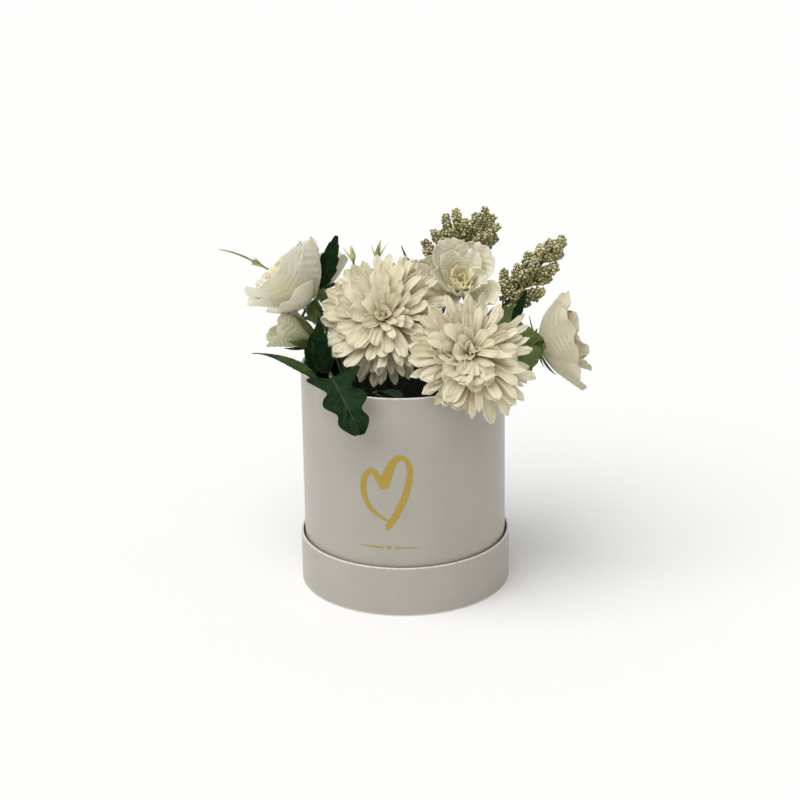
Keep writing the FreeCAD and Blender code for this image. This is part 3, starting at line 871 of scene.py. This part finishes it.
# Berry sprays: low and high end of the run, then the twigs as share of the run, bearing, lean and length
SPRAYS = {
    "spray_back": (above(38, 58, 46), above(56, 58, 80), (
        (0.08, 0, 75, 30), (0.15, 180, 48, 28), (0.36, 90, 36, 13), (0.32, 0, 55, 30), (0.42, 180, 45, 20),
        (0.50, 270, 44, 18), (0.58, 0, 40, 32), (0.70, 180, 42, 16), (1.00, 0, 0, 18))),
    "spray_right": (above(70, 20, 30), above(112, 20, 80), (
        (0.22, 0, 50, 18), (0.26, 180, 50, 20), (0.42, 50, 44, 17), (0.46, 230, 44, 19), (0.60, 330, 42, 16),
        (0.64, 150, 42, 17), (0.80, 20, 38, 13), (0.84, 200, 38, 14), (1.00, 0, 0, 11))),
}
# More twigs that fill the sprays: share of the run that each starts from, then its tip, over the rim
SPRAY_TIPS = {
    "spray_back": (
        (0.05, (17, 60, 75)), (0.15, (24, 54, 85)), (0.30, (33, 62, 95)), (0.45, (41, 57, 100)),
        (0.60, (48, 52, 94)), (0.75, (57, 63, 95)), (0.90, (64, 56, 101)), (0.60, (70, 60, 94)),
        (0.40, (73, 55, 88)), (0.25, (72, 62, 77)), (0.10, (66, 56, 68)), (0.20, (29, 66, 76)),
        (0.35, (38, 50, 87)), (0.50, (56, 66, 87)), (0.45, (63, 52, 82)), (0.10, (30, 56, 66)),
    ),
    "spray_right": (
        (0.10, (76, 22, 64)), (0.25, (86, 17, 69)), (0.40, (94, 24, 76)), (0.55, (103, 18, 83)),
        (0.75, (110, 23, 86)), (0.95, (119, 18, 85)), (0.80, (118, 23, 77)), (0.60, (115, 18, 67)),
        (0.45, (110, 22, 57)), (0.30, (105, 16, 48)), (0.15, (95, 21, 39)), (0.05, (82, 17, 34)),
        (0.30, (84, 26, 59)), (0.50, (99, 14, 71)), (0.40, (100, 26, 57)), (0.20, (90, 14, 49)),
    ),
}
# Twigs: radii of foot and tip in metres, turn from bead to bead, how thickly the beads sit, share left bare
TWIG_RADII = (0.0007, 0.0003)
GOLDEN_ANGLE = 2.39996
BEADS_PER_RADIUS = 3.4
BARE_FOOT = 0.18

# Small buds: seat, facing, length and droop of the drawn-out tip, share of the full girth, and the sepals'
# rise, curl, length and width
SMALL_BUDS = {
    "bud_tail": (above(-104, 58, 58), (-0.85, -0.05, 0.52), 26, 5, 0.7, (72, 8, 9, 2.2)),
    "bud_pale_left": (above(-35, 26, 70), (-0.1, 0, 0.99), 3, 0, 0.75, (74, 16, 12, 3.2)),
    "bud_pale_middle": (above(-18, 42, 66), (0.1, 0, 0.99), 3, 0, 0.8, (70, 20, 14, 3.4)),
    "bud_green": (above(7, 26, 64), (-0.35, 0, 0.93), 10, 0, 0.9, (40, -110, 16, 2.0)),
}
# Radius and height along a small bud of full girth, and where its drawn-out tip starts
BUD_OUTLINE = ((1.7, 1.6), (2.8, 3.4), (3.1, 5), (2.5, 7), (1.4, 8.6), (0.9, 9.4))
BUD_TOP = 9.6

# Brush strokes of the heart: across and height on the wall and width of the stroke, in millimetres
HEART_LEFT = (
    (-14.5, 99, 6), (-18, 105, 5), (-21.5, 111, 4.5), (-25.5, 112, 3.5), (-29.5, 106, 4.5), (-30.5, 97.5, 5),
    (-28, 87.5, 4), (-22, 80, 3), (-12, 73.5, 1.4),
)
HEART_RIGHT = (
    (-14.5, 99, 6), (-13, 107.5, 7), (-10, 115.5, 6.5), (-6.5, 121.5, 5), (-2, 123, 3.5), (2, 120, 4),
    (4, 113, 4), (3, 104.5, 4.5), (0.5, 94.5, 5), (-3.5, 84.5, 5), (-8.5, 75, 5), (-14, 67, 3.5),
)
# The rule: its middle on the wall, how far out its two arms start and end, and their widths on the way out
RULE_MIDDLE = (-12.0, 53.0)
RULE_ARM = (4.0, 22.0)
RULE_WIDTHS = (1.5, 1.2, 0.9, 0.6, 0.3)
# The diamond between the arms: across and width
DIAMOND = ((-1.8, 0.2), (-0.9, 1.9), (0, 3.4), (0.9, 1.9), (1.8, 0.2))
# Share of half a stroke that its rounded end takes up
STROKE_END = 0.06


# Parts of the pieces


def cloth_piece(name, cuts, thickness, material):
    """Joins cuts, gives them their thickness and their finish."""
    piece = joined(name, cuts)
    modified(piece, "SOLIDIFY", thickness=thickness, offset=0)
    smooth(piece, 60)
    coated(piece, material)
    return piece


def assembled(name, parts, angle, slot, node):
    """Joins parts to one piece of the arrangement."""
    piece = joined(name, parts)
    smooth(piece, angle)
    dress(piece, "arrangement", slot, node)


def petal_pieces(name, rings, split, parts, nodes, finishes, slot):
    """The outer and the inner petals of a head, each joined to one piece."""
    for part, node, petals, finish in zip(parts, nodes, (rings[:split], rings[split:]), finishes):
        piece = cloth_piece(name + part, sum(petals, []), settings().flowers.cloth, finish)
        dress(piece, "arrangement", slot, name + node)


def green_leaf(cut, place, points, tone, finish):
    """One leaf or sepal with its thickness and its finish."""
    leaf = laid(cut, set_in(place, points), tone)
    modified(leaf, "SOLIDIFY", thickness=settings().greens.cloth, offset=0)
    coated(leaf, finish)
    return leaf


def sepals(cut, chance, place, shape, share, spin, variety, finish):
    """The sepals round a cup or a small bud."""
    def draw(limits):
        return chance.uniform(*limits) if limits else 0
    places = cut_places(cut)
    rise, curl, size, width = shape
    count, foot, channel, sized, raised, curled, swept, twisted, turned = variety
    leaves = []
    for i in range(count):
        points = petal(
            places, size=size * share * draw(sized), width=width, rise=rise + draw(raised),
            curl=curl + draw(curled), outline=blade, channel=channel, sweep=draw(swept), twist=draw(twisted),
        )
        points = turned_out(points, *foot, spin + 360 * i / count + draw(turned))
        leaves.append(green_leaf(cut, place, points, chance.random(), finish))
    return leaves


def lap(radius, low, high, bearing):
    """The glued lap where a sheet's end lies over its beginning: a band a little proud of the wall."""
    cut = cut_cloth(*LAP_CUT)
    across, along = cut_places(cut)
    angle = math.radians(bearing) + across * settings().paper.lap / 2 / radius
    stand = radius + LAP_RISE * np.clip((1 - across) * 8, 0, 1)
    band = laid(cut, on_wall(angle, low + (high - low) * along, stand))
    dropped(cut)
    modified(band, "SOLIDIFY", thickness=LAP_PAPER, offset=-1)
    return band


def paper_cover(body, outline, radius, low, high, bearing, edges):
    """The covering paper of a body, turned from its outline, with its lap, and its edges at some heights made
    paler by wear and a painted highlight.
    """
    paper = settings().paper
    sheet = lathe(body + "_cover", outline, paper.steps)
    cover = joined(body + "_cover", [sheet, lap(radius, low, high, bearing)])
    smooth(cover, 40)
    coated(cover, paper_finish(body + "_paper", paper.paper, paper.worn_and_highlight, edges))
    dress(cover, body, "pearl_paper", body + "_wrap")


def stroke(cut, line, radius):
    """A brush stroke on the wall along a smooth line, with rounded ends."""
    across, along = cut_places(cut)
    knots = np.array(line, float)
    share = np.linspace(0, 1, len(knots))
    fine = np.linspace(0, 1, 200)
    path = np.column_stack([spline(share, knots[:, i], fine) for i in range(3)])
    x, z, width = (np.interp(along, fine, path[:, i]) for i in range(3))
    ahead = np.gradient(path[:, :2], axis=0)
    ahead /= np.linalg.norm(ahead, axis=1)[:, None]
    ahead_x, ahead_z = (np.interp(along, fine, ahead[:, i]) for i in range(2))
    past = np.clip(np.abs(2 * along - 1) - (1 - STROKE_END), 0, 1)
    half = width / 2 * np.sqrt(np.clip(1 - past ** 2 / STROKE_END ** 2, 0.001, 1)) * across
    return laid(cut, on_wall((x - ahead_z * half) * MM / radius, (z + ahead_x * half) * MM, radius))


def stacked(points, number, stack, bearing):
    """Sets a petal on its ring of the head, turned to its bearing."""
    hub, level, narrower, higher = stack
    return turned_out(points, max(hub - narrower * number, LEAST_HUB), level + higher * number, bearing)


def mum_ring(cut, chance, place, number, share, lean, broadest):
    """One ring of a mum's petals."""
    places = cut_places(cut)
    count, rise, curl, size, width = MUM_RINGS[number]
    petals = []
    for i in range(count):
        bearing = 360 * (i + chance.uniform(-0.45, 0.45)) / count + MUM_RING_TURN * number
        side = 0.5 + 0.5 * math.cos(math.radians(bearing - broadest))
        broad = (0.75 + 0.65 * side) * chance.uniform(0.75, 1.25)
        points = petal(
            places,
            size=size * share * chance.uniform(0.8, 1.05),
            width=width * share * broad,
            rise=rise + chance.uniform(-9, 11),
            curl=curl + chance.uniform(-18, 24),
            outline=spoon,
            flare=chance.uniform(-70, 24),
            channel=(90 + chance.uniform(-15, 15), chance.uniform(-24, 50 - 24 * side)),
            tip=mum_tip,
            veins=creased(MUM_CREASE * broad, chance.uniform(1.3, 2.8), chance.uniform(0, 6)),
            sweep=chance.uniform(-4.5, 4.5),
            twist=chance.uniform(-38, 38),
        )
        points = stacked(points, number, MUM_STACK, bearing)
        points[:, 0] += lean * number / len(MUM_RINGS)
        petals.append(laid(cut, set_in(place, points), chance.random()))
    return petals


def rose_ring(cut, chance, place, head, ring, number, edges):
    """One ring of a rose's petals."""
    places = cut_places(cut)
    share, spin, lift = head
    count, rise, curl, flare, size, width = ring
    edge, wave, heart, pressed, leads = edges
    size = size * heart if number >= ROSE_OUTER_RINGS else size
    petals = []
    for i in range(count):
        longer, wider, flatter, raised, turn = leads.get((number, i), LIKE_ITS_RING)
        points = petal(
            places,
            size=size * share * longer * chance.uniform(0.93, 1.05),
            width=width * share * wider * chance.uniform(0.93, 1.08),
            rise=rise + raised + lift / (number + 1) + chance.uniform(-4, 4),
            curl=curl + chance.uniform(-8, 8),
            outline=fan,
            flare=flare * flatter + chance.uniform(-12, 12),
            channel=(70 + 8 * number, 42 + 14 * number),
            tip=edge,
            ruffle=(wave * share, ROSE_WAVES + chance.uniform(-0.5, 0.5), chance.uniform(0, 6)),
            veins=partial(rose_veins, depth=pressed),
            sweep=chance.uniform(-2, 2),
            twist=chance.uniform(-7, 7),
        )
        bearing = spin + turn + 360 * (i + 0.5 * (number % 2)) / count + chance.uniform(-4, 4)
        points = stacked(points, number, ROSE_STACK, bearing)
        petals.append(laid(cut, set_in(place, points), chance.random()))
    return petals


def along_heading(heading):
    """The turn from Z to a heading."""
    return Vector((0, 0, 1)).rotation_difference(heading).to_matrix()


def panicle(bead, start, heading, reach, radius, chance):
    """The berries round one twig, heaped in a spiral that narrows to its tip."""
    flat = mesh_points(bead)
    turn = along_heading(heading)
    beads = []
    count = int(reach / radius * BEADS_PER_RADIUS)
    for i in range(count):
        spot = (i + 0.5) / count
        swell = min(1, 0.6 + spot) * math.sqrt(1 - 0.85 * max(0, (spot - 0.7) / 0.3) ** 2)
        girth = radius * (0.5 + 2.1 * swell * chance.uniform(0.5, 1.1))
        bearing = GOLDEN_ANGLE * i + chance.uniform(-0.3, 0.3)
        offset = turn @ Vector((math.cos(bearing), math.sin(bearing), 0)) * girth
        middle = start + heading * (reach * (BARE_FOOT + (1 - BARE_FOOT) * spot)) + offset
        points = flat * radius * chance.uniform(0.75, 1.1) + np.array(middle)
        beads.append(laid(bead, points, chance.random()))
    return beads


def twig(start, heading, reach, finish):
    """The tapered bar that the berries sit on."""
    foot, tip = TWIG_RADII
    bar = primitive("cone", vertices=TWIG_STEPS, radius1=foot, radius2=tip, depth=reach)
    bar.data.transform(Matrix.Translation(start + heading * reach / 2) @ along_heading(heading).to_4x4())
    coated(bar, finish)
    return bar


def loose_stalk(name, finish):
    """A copy of the stalk of a node: the one of its solids that reaches lowest."""
    alone(linked(name + "_stalk", frame["nodes"][name].data.copy()))
    bpy.ops.object.mode_set(mode="EDIT")
    bpy.ops.mesh.select_all(action="SELECT")
    bpy.ops.mesh.remove_doubles(threshold=WELD)
    bpy.ops.mesh.separate(type="LOOSE")
    bpy.ops.object.mode_set(mode="OBJECT")
    parts = sorted(bpy.context.selected_objects, key=lambda part: min(v.co.z for v in part.data.vertices))
    dropped(*parts[1:])
    coated(parts[0], finish)
    return parts[0]


class FLOWERBOX_OT_covers(bpy.types.Operator):
    """Paper covers of the box and of the lid, with rounded folds and a glued lap at the back"""

    bl_idname = "flower_box.covers"
    bl_label = "Paper covers"

    def execute(self, context):
        edge = settings().paper.edge
        wall, low = BOX_HIGH.x, BOX_LOW.z
        under = wall - TURN_UNDER
        outline = [(under, low), *corner((wall - edge, low + edge), edge, -90, 0)]
        outline += folded(wall, LINING_HIGH.x - PAPER, RIM, LINING_HIGH.z, edge)
        outline += [(wall - PAPER, low + PAPER), (under, low + PAPER)]
        paper_cover("box", outline, wall, low + edge, RIM - edge, BOX_LAP_BEARING, (RIM,))

        wall, low, top = LID_HIGH.x, LID_LOW.z, LID_HIGH.z
        outline = [(wall - PAPER, low), (wall, low)]
        outline += folded(wall, wall - LID_WALL, top, top - LID_TURN_IN, edge)
        paper_cover("lid", outline, wall, low, top - edge, LID_LAP_BEARING, (top, low))
        return {"FINISHED"}


class FLOWERBOX_OT_foil(bpy.types.Operator):
    """Gold foil on the front: a brushed heart and a plain tapered rule under it"""

    bl_idname = "flower_box.foil"
    bl_label = "Gold foil"

    def execute(self, context):
        paper = settings().paper
        gold = gold_finish("gold_foil", paper.gold)
        radius = BOX_HIGH.x + paper.foil
        cut = cut_cloth(*FOIL_CUT)
        heart = [stroke(cut, HEART_LEFT, radius), stroke(cut, HEART_RIGHT, radius + STROKE_RISE)]
        x, z = RULE_MIDDLE
        arm = list(zip(np.linspace(*RULE_ARM, len(RULE_WIDTHS)), RULE_WIDTHS))
        rule = []
        for way, line in ((-1, arm), (1, arm), (1, DIAMOND)):
            rule.append(stroke(cut, [(x + way * out, z, width) for out, width in line], radius))
        dropped(cut)
        for name, strokes in (("gold_heart", heart), ("gold_rule", rule)):
            dress(cloth_piece(name, strokes, paper.foil, gold), "box")
        return {"FINISHED"}


class FLOWERBOX_OT_mums(bpy.types.Operator):
    """The two pompon mums: rings of channelled petals round a tight middle"""

    bl_idname = "flower_box.mums"
    bl_label = "Mums"

    def execute(self, context):
        cloth = settings().flowers
        # The deep cream at the petals' feet is partly painted shade in the middle of each mum.
        finish = petal_finish("mum_cloth", cloth.cream, cloth.cream_deep_and_shade, 0.76)
        cut = cut_cloth(*MUM_CUT)
        for name, (seat, facing, share, seed, lean, broadest) in MUMS.items():
            chance = random.Random(seed)
            place = head_place(seat, facing)
            rings = [mum_ring(cut, chance, place, number, share, lean, broadest)
                     for number in range(len(MUM_RINGS))]
            petal_pieces(name, rings, MUM_OUTER_RINGS, ("_ray_petals", "_crown_petals"),
                         ("_outer_petals", "_inner_petals"), (finish, finish), "cream_petal")
        dropped(cut)
        return {"FINISHED"}


class FLOWERBOX_OT_roses(bpy.types.Operator):
    """The four roses and the bud: cupped, ruffled petals with embossed veins"""

    bl_idname = "flower_box.roses"
    bl_label = "Roses"

    def execute(self, context):
        cloth = settings().flowers
        white = petal_finish("rose_cloth", cloth.white, cloth.white_deep, 0.35, 0.12)
        painted_shade_white = petal_finish("painted_shade_rose_cloth", cloth.painted_shade_white, cloth.painted_shade_white, 0.35, 0.14)
        warm = petal_finish("rose_heart_cloth", cloth.heart, cloth.white_deep, 0.9)
        pale = petal_finish("bud_cloth", cloth.bud, cloth.bud_deep, 0.9, 0.35)
        cut = cut_cloth(*ROSE_CUT)
        heads = [(name, head, ROSE_RINGS, ROSE_OUTER_RINGS, seed, white, warm, "white_petal")
                 for seed, (name, head) in enumerate(ROSES.items(), ROSE_SEED)]
        heads.append(("bud_left", BUD, BUD_RINGS, BUD_OUTER_RINGS, BUD_SEED, pale, pale, "bud_petal"))
        for name, (seat, facing, *head), table, split, seed, outside, inside, slot in heads:
            # The rose at the right takes the white with painted shade.
            outside = painted_shade_white if name == "rose_right" else outside
            chance = random.Random(seed)
            place = head_place(seat, facing)
            rings = [rose_ring(cut, chance, place, head, ring, number, ROSE_EDGES[name])
                     for number, ring in enumerate(table)]
            petal_pieces(name, rings, split, ("_open_petals", "_rolled_petals"),
                         ("_outer_petals", "_heart"), (outside, inside), slot)
        dropped(cut)
        return {"FINISHED"}


class FLOWERBOX_OT_calyxes(bpy.types.Operator):
    """The green cups under the heads, with the sepals of the roses"""

    bl_idname = "flower_box.calyxes"
    bl_label = "Calyxes"

    def execute(self, context):
        greens = settings().greens
        moulded = stem_finish("calyx_plastic", greens.stem)
        sepal = leaf_finish("sepal_cloth", greens.mid, greens.mid_vein, 5)
        cut = cut_cloth(*SEPAL_CUT)
        heads = [(name, *head[:3], 0, MUM_CUP, None, "_cup") for name, head in MUMS.items()]
        heads += [(name, *head[:4], ROSE_CUP, SEPALS.get(name, OPEN_SEPALS), "_cup_and_sepals")
                  for name, head in (*ROSES.items(), ("bud_left", BUD))]
        for name, seat, facing, share, spin, (hub, deep, bar), shape, part in heads:
            place = head_place(seat, facing)
            socket = STEM_SOCKET - deep
            cup = [(bar, -deep), (bar + 0.8, -deep), (bar + 1.3, -0.6 * deep), (0.7 * hub, -0.25 * deep),
                   (0.85 * hub, -0.1 * deep), (0.85 * hub, 0), (PEG_HOLE, 0), (PEG_HOLE, socket),
                   (bar, socket)]
            body = lathe(name + "_cup", cup, CUP_STEPS)
            body.data.transform(place)
            coated(body, moulded)
            parts = [body]
            if shape:
                parts += sepals(cut, random.Random(name), place, shape, share, spin, ROSE_SEPALS, sepal)
            assembled(name + part, parts, 50, "green_plastic", name + "_calyx")
        dropped(cut)
        return {"FINISHED"}


class FLOWERBOX_OT_sprays(bpy.types.Operator):
    """The two berry sprays: twigs set all over with small berries"""

    bl_idname = "flower_box.sprays"
    bl_label = "Berry sprays"

    def execute(self, context):
        greens = settings().greens
        finish = berry_finish("berries", greens.berry, greens.frost_and_highlight)
        wood = stem_finish("twig_plastic", greens.stem)
        bead = toned(primitive("uv_sphere", segments=8, ring_count=6, radius=1))
        coated(bead, finish)
        for name, (low, high, twigs) in SPRAYS.items():
            chance = random.Random(name)
            run = high - low
            along = run.normalized()
            side = along.cross(Vector((0, 1, 0))).normalized()
            back = along.cross(side)
            runs = []
            for share, around, lean, size in twigs:
                angle, tilt = math.radians(around), math.radians(lean)
                out = side * math.cos(angle) + back * math.sin(angle)
                runs.append((low + run * share, along * math.cos(tilt) + out * math.sin(tilt), size * MM))
            for share, tip in SPRAY_TIPS[name]:
                start = low + run * share
                way = above(*tip) - start
                runs.append((start, way.normalized(), way.length))
            beads = []
            bars = []
            for start, heading, reach in runs:
                beads += panicle(bead, start, heading, reach, greens.bead, chance)
                bars.append(twig(start, heading, reach, wood))
            assembled(name + "_beads", beads + bars, 80, "berry", name + "_berries")
        dropped(bead)
        return {"FINISHED"}


class FLOWERBOX_OT_leaves(bpy.types.Operator):
    """The leaves, each with its teeth, veins and stalk"""

    bl_idname = "flower_box.leaves"
    bl_label = "Leaves"

    def execute(self, context):
        greens = settings().greens
        finishes = {
            "dark": leaf_finish("dark_leaf_cloth", greens.dark, greens.dark_vein),
            "mid": leaf_finish("green_leaf_cloth", greens.mid, greens.mid_vein),
            "olive": leaf_finish("olive_leaf_cloth", greens.olive, greens.mid_vein),
        }
        wood = stem_finish("stalk_plastic", greens.stem)
        cut = cut_cloth(*LEAF_CUT)
        places = cut_places(cut)
        for name, (base, heading, face, size, width, outline, bend, fold, sweep, kind) in LEAVES.items():
            chance = random.Random(name)
            points = petal(
                places, size=size, width=width, rise=0, curl=bend, outline=outline,
                channel=(fold, LEAF_TIP_FOLD * fold), tip=forward,
                ruffle=(LEAF_RUFFLE * width, 1.5, chance.uniform(0, 6)),
                veins=partial(leaf_veins, depth=LEAF_RELIEF * width),
                sweep=sweep + chance.uniform(-1, 1), twist=chance.uniform(-8, 8),
            )
            place = leaf_place(base, heading, face)
            leaf = green_leaf(cut, place, points, chance.random(), finishes[kind])
            slot = "dark_leaf" if kind == "dark" else "mid_leaf"
            assembled(name + "_cloth", [leaf, loose_stalk(name, wood)], 50, slot, name)
        dropped(cut)
        return {"FINISHED"}


class FLOWERBOX_OT_small_buds(bpy.types.Operator):
    """The small closed buds on thin stalks"""

    bl_idname = "flower_box.small_buds"
    bl_label = "Small buds"

    def execute(self, context):
        greens = settings().greens
        pale = stem_finish("pale_bud_plastic", greens.pale)
        green = stem_finish("green_bud_plastic", greens.stem)
        shoot = stem_finish("shoot_plastic", greens.shoot)
        # Finishes of the bud, its sepals and its stalk
        finishes = {"bud_green": (green, green, green), "bud_tail": (shoot, pale, shoot)}
        cut = cut_cloth(*BUD_SEPAL_CUT)
        for name, (seat, facing, tail, droop, girth, shape) in SMALL_BUDS.items():
            place = head_place(seat, facing)
            outside, sepal, stalk = finishes.get(name, (pale, pale, green))
            outline = [(0.02, 0), (0.8, 0.1), *((girth * radius, height) for radius, height in BUD_OUTLINE)]
            outline += [(0.95 - 0.1 * i, BUD_TOP + tail * i / 6) for i in range(1, 6)]
            outline.append((0.02, BUD_TOP + tail))
            body = lathe(name + "_body", outline, BUD_STEPS)
            for vertex in body.data.vertices:
                past = max(0, vertex.co.z - BUD_TOP) / tail
                vertex.co.x -= droop * past ** 2
            body.data.transform(place)
            coated(body, outside)
            leaves = sepals(cut, random.Random(name), place, shape, 1, 0, BUD_SEPALS, sepal)
            assembled(name + "_bud", [body, *leaves, loose_stalk(name, stalk)], 60, "pale_bud", name)
        dropped(cut)
        return {"FINISHED"}


class FLOWERBOX_OT_inner_finishes(bpy.types.Operator):
    """Finishes of the pieces that keep their own shape: boards, linings, foam and stems"""

    bl_idname = "flower_box.inner_finishes"
    bl_label = "Boards, linings, foam and stems"

    def execute(self, context):
        paper, greens = settings().paper, settings().greens
        by_slot = {
            "pearl_paper": paper_finish("flat_paper", paper.paper, paper.worn_and_highlight, ()),
            "grey_board": board_finish("grey_board", paper.board),
            "dark_lining": matt_finish("lining_paper", paper.lining),
            "foam": foam_finish("floral_foam", paper.foam),
            "green_plastic": stem_finish("stem_plastic", greens.wire),
        }
        for part in frame["record"]["subparts"]:
            finish = by_slot.get(part["material_slot"])
            node = frame["nodes"][part["node"]]
            if finish and not node.hide_render:
                coated(node, finish)
        return {"FINISHED"}


class FLOWERBOX_OT_stage(bpy.types.Operator):
    """Floor, even light, soft lamp and camera"""

    bl_idname = "flower_box.stage"
    bl_label = "Stage"

    def execute(self, context):
        stage = settings().stage
        floor = primitive("plane", size=FLOOR_SIZE)
        floor.name = "floor"
        paint = Finish("floor_paint", Base_Color=(*stage.floor, 1), Roughness=0.9, Specular_IOR_Level=0.1)
        coated(floor, paint.material)

        world = bpy.data.worlds.new("studio")
        context.scene.world = world
        world.use_nodes = True
        nodes = Nodes(world.node_tree)
        background = world.node_tree.nodes["Background"].inputs
        path = nodes.add("LightPath").outputs
        seen = nodes.maths("MAXIMUM", path["Is Camera Ray"], path["Is Glossy Ray"])
        seen = nodes.maths("MAXIMUM", seen, path["Is Transmission Ray"])
        nodes.feed(background["Strength"], nodes.ramp(seen, 0, 1, stage.sky, 1))
        background["Color"].default_value = (1, 1, 1, 1)

        bpy.ops.object.light_add(type="SUN", location=stage.lamp)
        key = context.object
        key.name = "key"
        key.data.energy = stage.key
        key.data.angle = stage.softness
        aim = Vector(stage.aim) - key.location
        key.rotation_euler = aim.to_track_quat("-Z", "Y").to_euler()

        bpy.ops.object.camera_add(location=stage.place)
        camera = context.object
        turn = Matrix.Rotation(stage.tilt, 4, "X") @ Matrix.Rotation(stage.roll, 4, "Z")
        camera.rotation_euler = turn.to_euler()
        camera.data.lens = stage.lens
        camera.data.sensor_width = SENSOR_WIDTH
        context.scene.camera = camera
        context.scene.view_settings.view_transform = "Standard"
        return {"FINISHED"}


class FlowerBoxSettings(bpy.types.PropertyGroup):
    """All settings of the flower box."""

    paper: PointerProperty(type=PaperSettings)
    flowers: PointerProperty(type=FlowerSettings)
    greens: PointerProperty(type=GreenSettings)
    stage: PointerProperty(type=StageSettings)


STEPS = (
    FLOWERBOX_OT_covers,
    FLOWERBOX_OT_foil,
    FLOWERBOX_OT_mums,
    FLOWERBOX_OT_roses,
    FLOWERBOX_OT_calyxes,
    FLOWERBOX_OT_sprays,
    FLOWERBOX_OT_leaves,
    FLOWERBOX_OT_small_buds,
    FLOWERBOX_OT_inner_finishes,
    FLOWERBOX_OT_stage,
)


class FLOWERBOX_PT_panel(bpy.types.Panel):
    """Lists the settings and the steps."""

    bl_idname = "FLOWERBOX_PT_panel"
    bl_label = "Flower box"
    bl_space_type = "VIEW_3D"
    bl_region_type = "UI"
    bl_category = "Flower box"

    def draw(self, context):
        for step in STEPS:
            self.layout.operator(step.bl_idname)
        for group in ("paper", "flowers", "greens", "stage"):
            values = getattr(settings(), group)
            column = self.layout.column(heading=group.capitalize())
            for key in values.__annotations__:
                column.prop(values, key)


CLASSES = (
    PaperSettings, FlowerSettings, GreenSettings, StageSettings, FlowerBoxSettings, *STEPS, FLOWERBOX_PT_panel
)


def register():
    for item in CLASSES:
        bpy.utils.register_class(item)
    bpy.types.Scene.flower_box = PointerProperty(type=FlowerBoxSettings)


def unregister():
    del bpy.types.Scene.flower_box
    for item in reversed(CLASSES):
        bpy.utils.unregister_class(item)


def main():
    register()
    for step in STEPS:
        space, name = step.bl_idname.split(".")
        getattr(getattr(bpy.ops, space), name)()


if __name__ == "__main__":
    main()
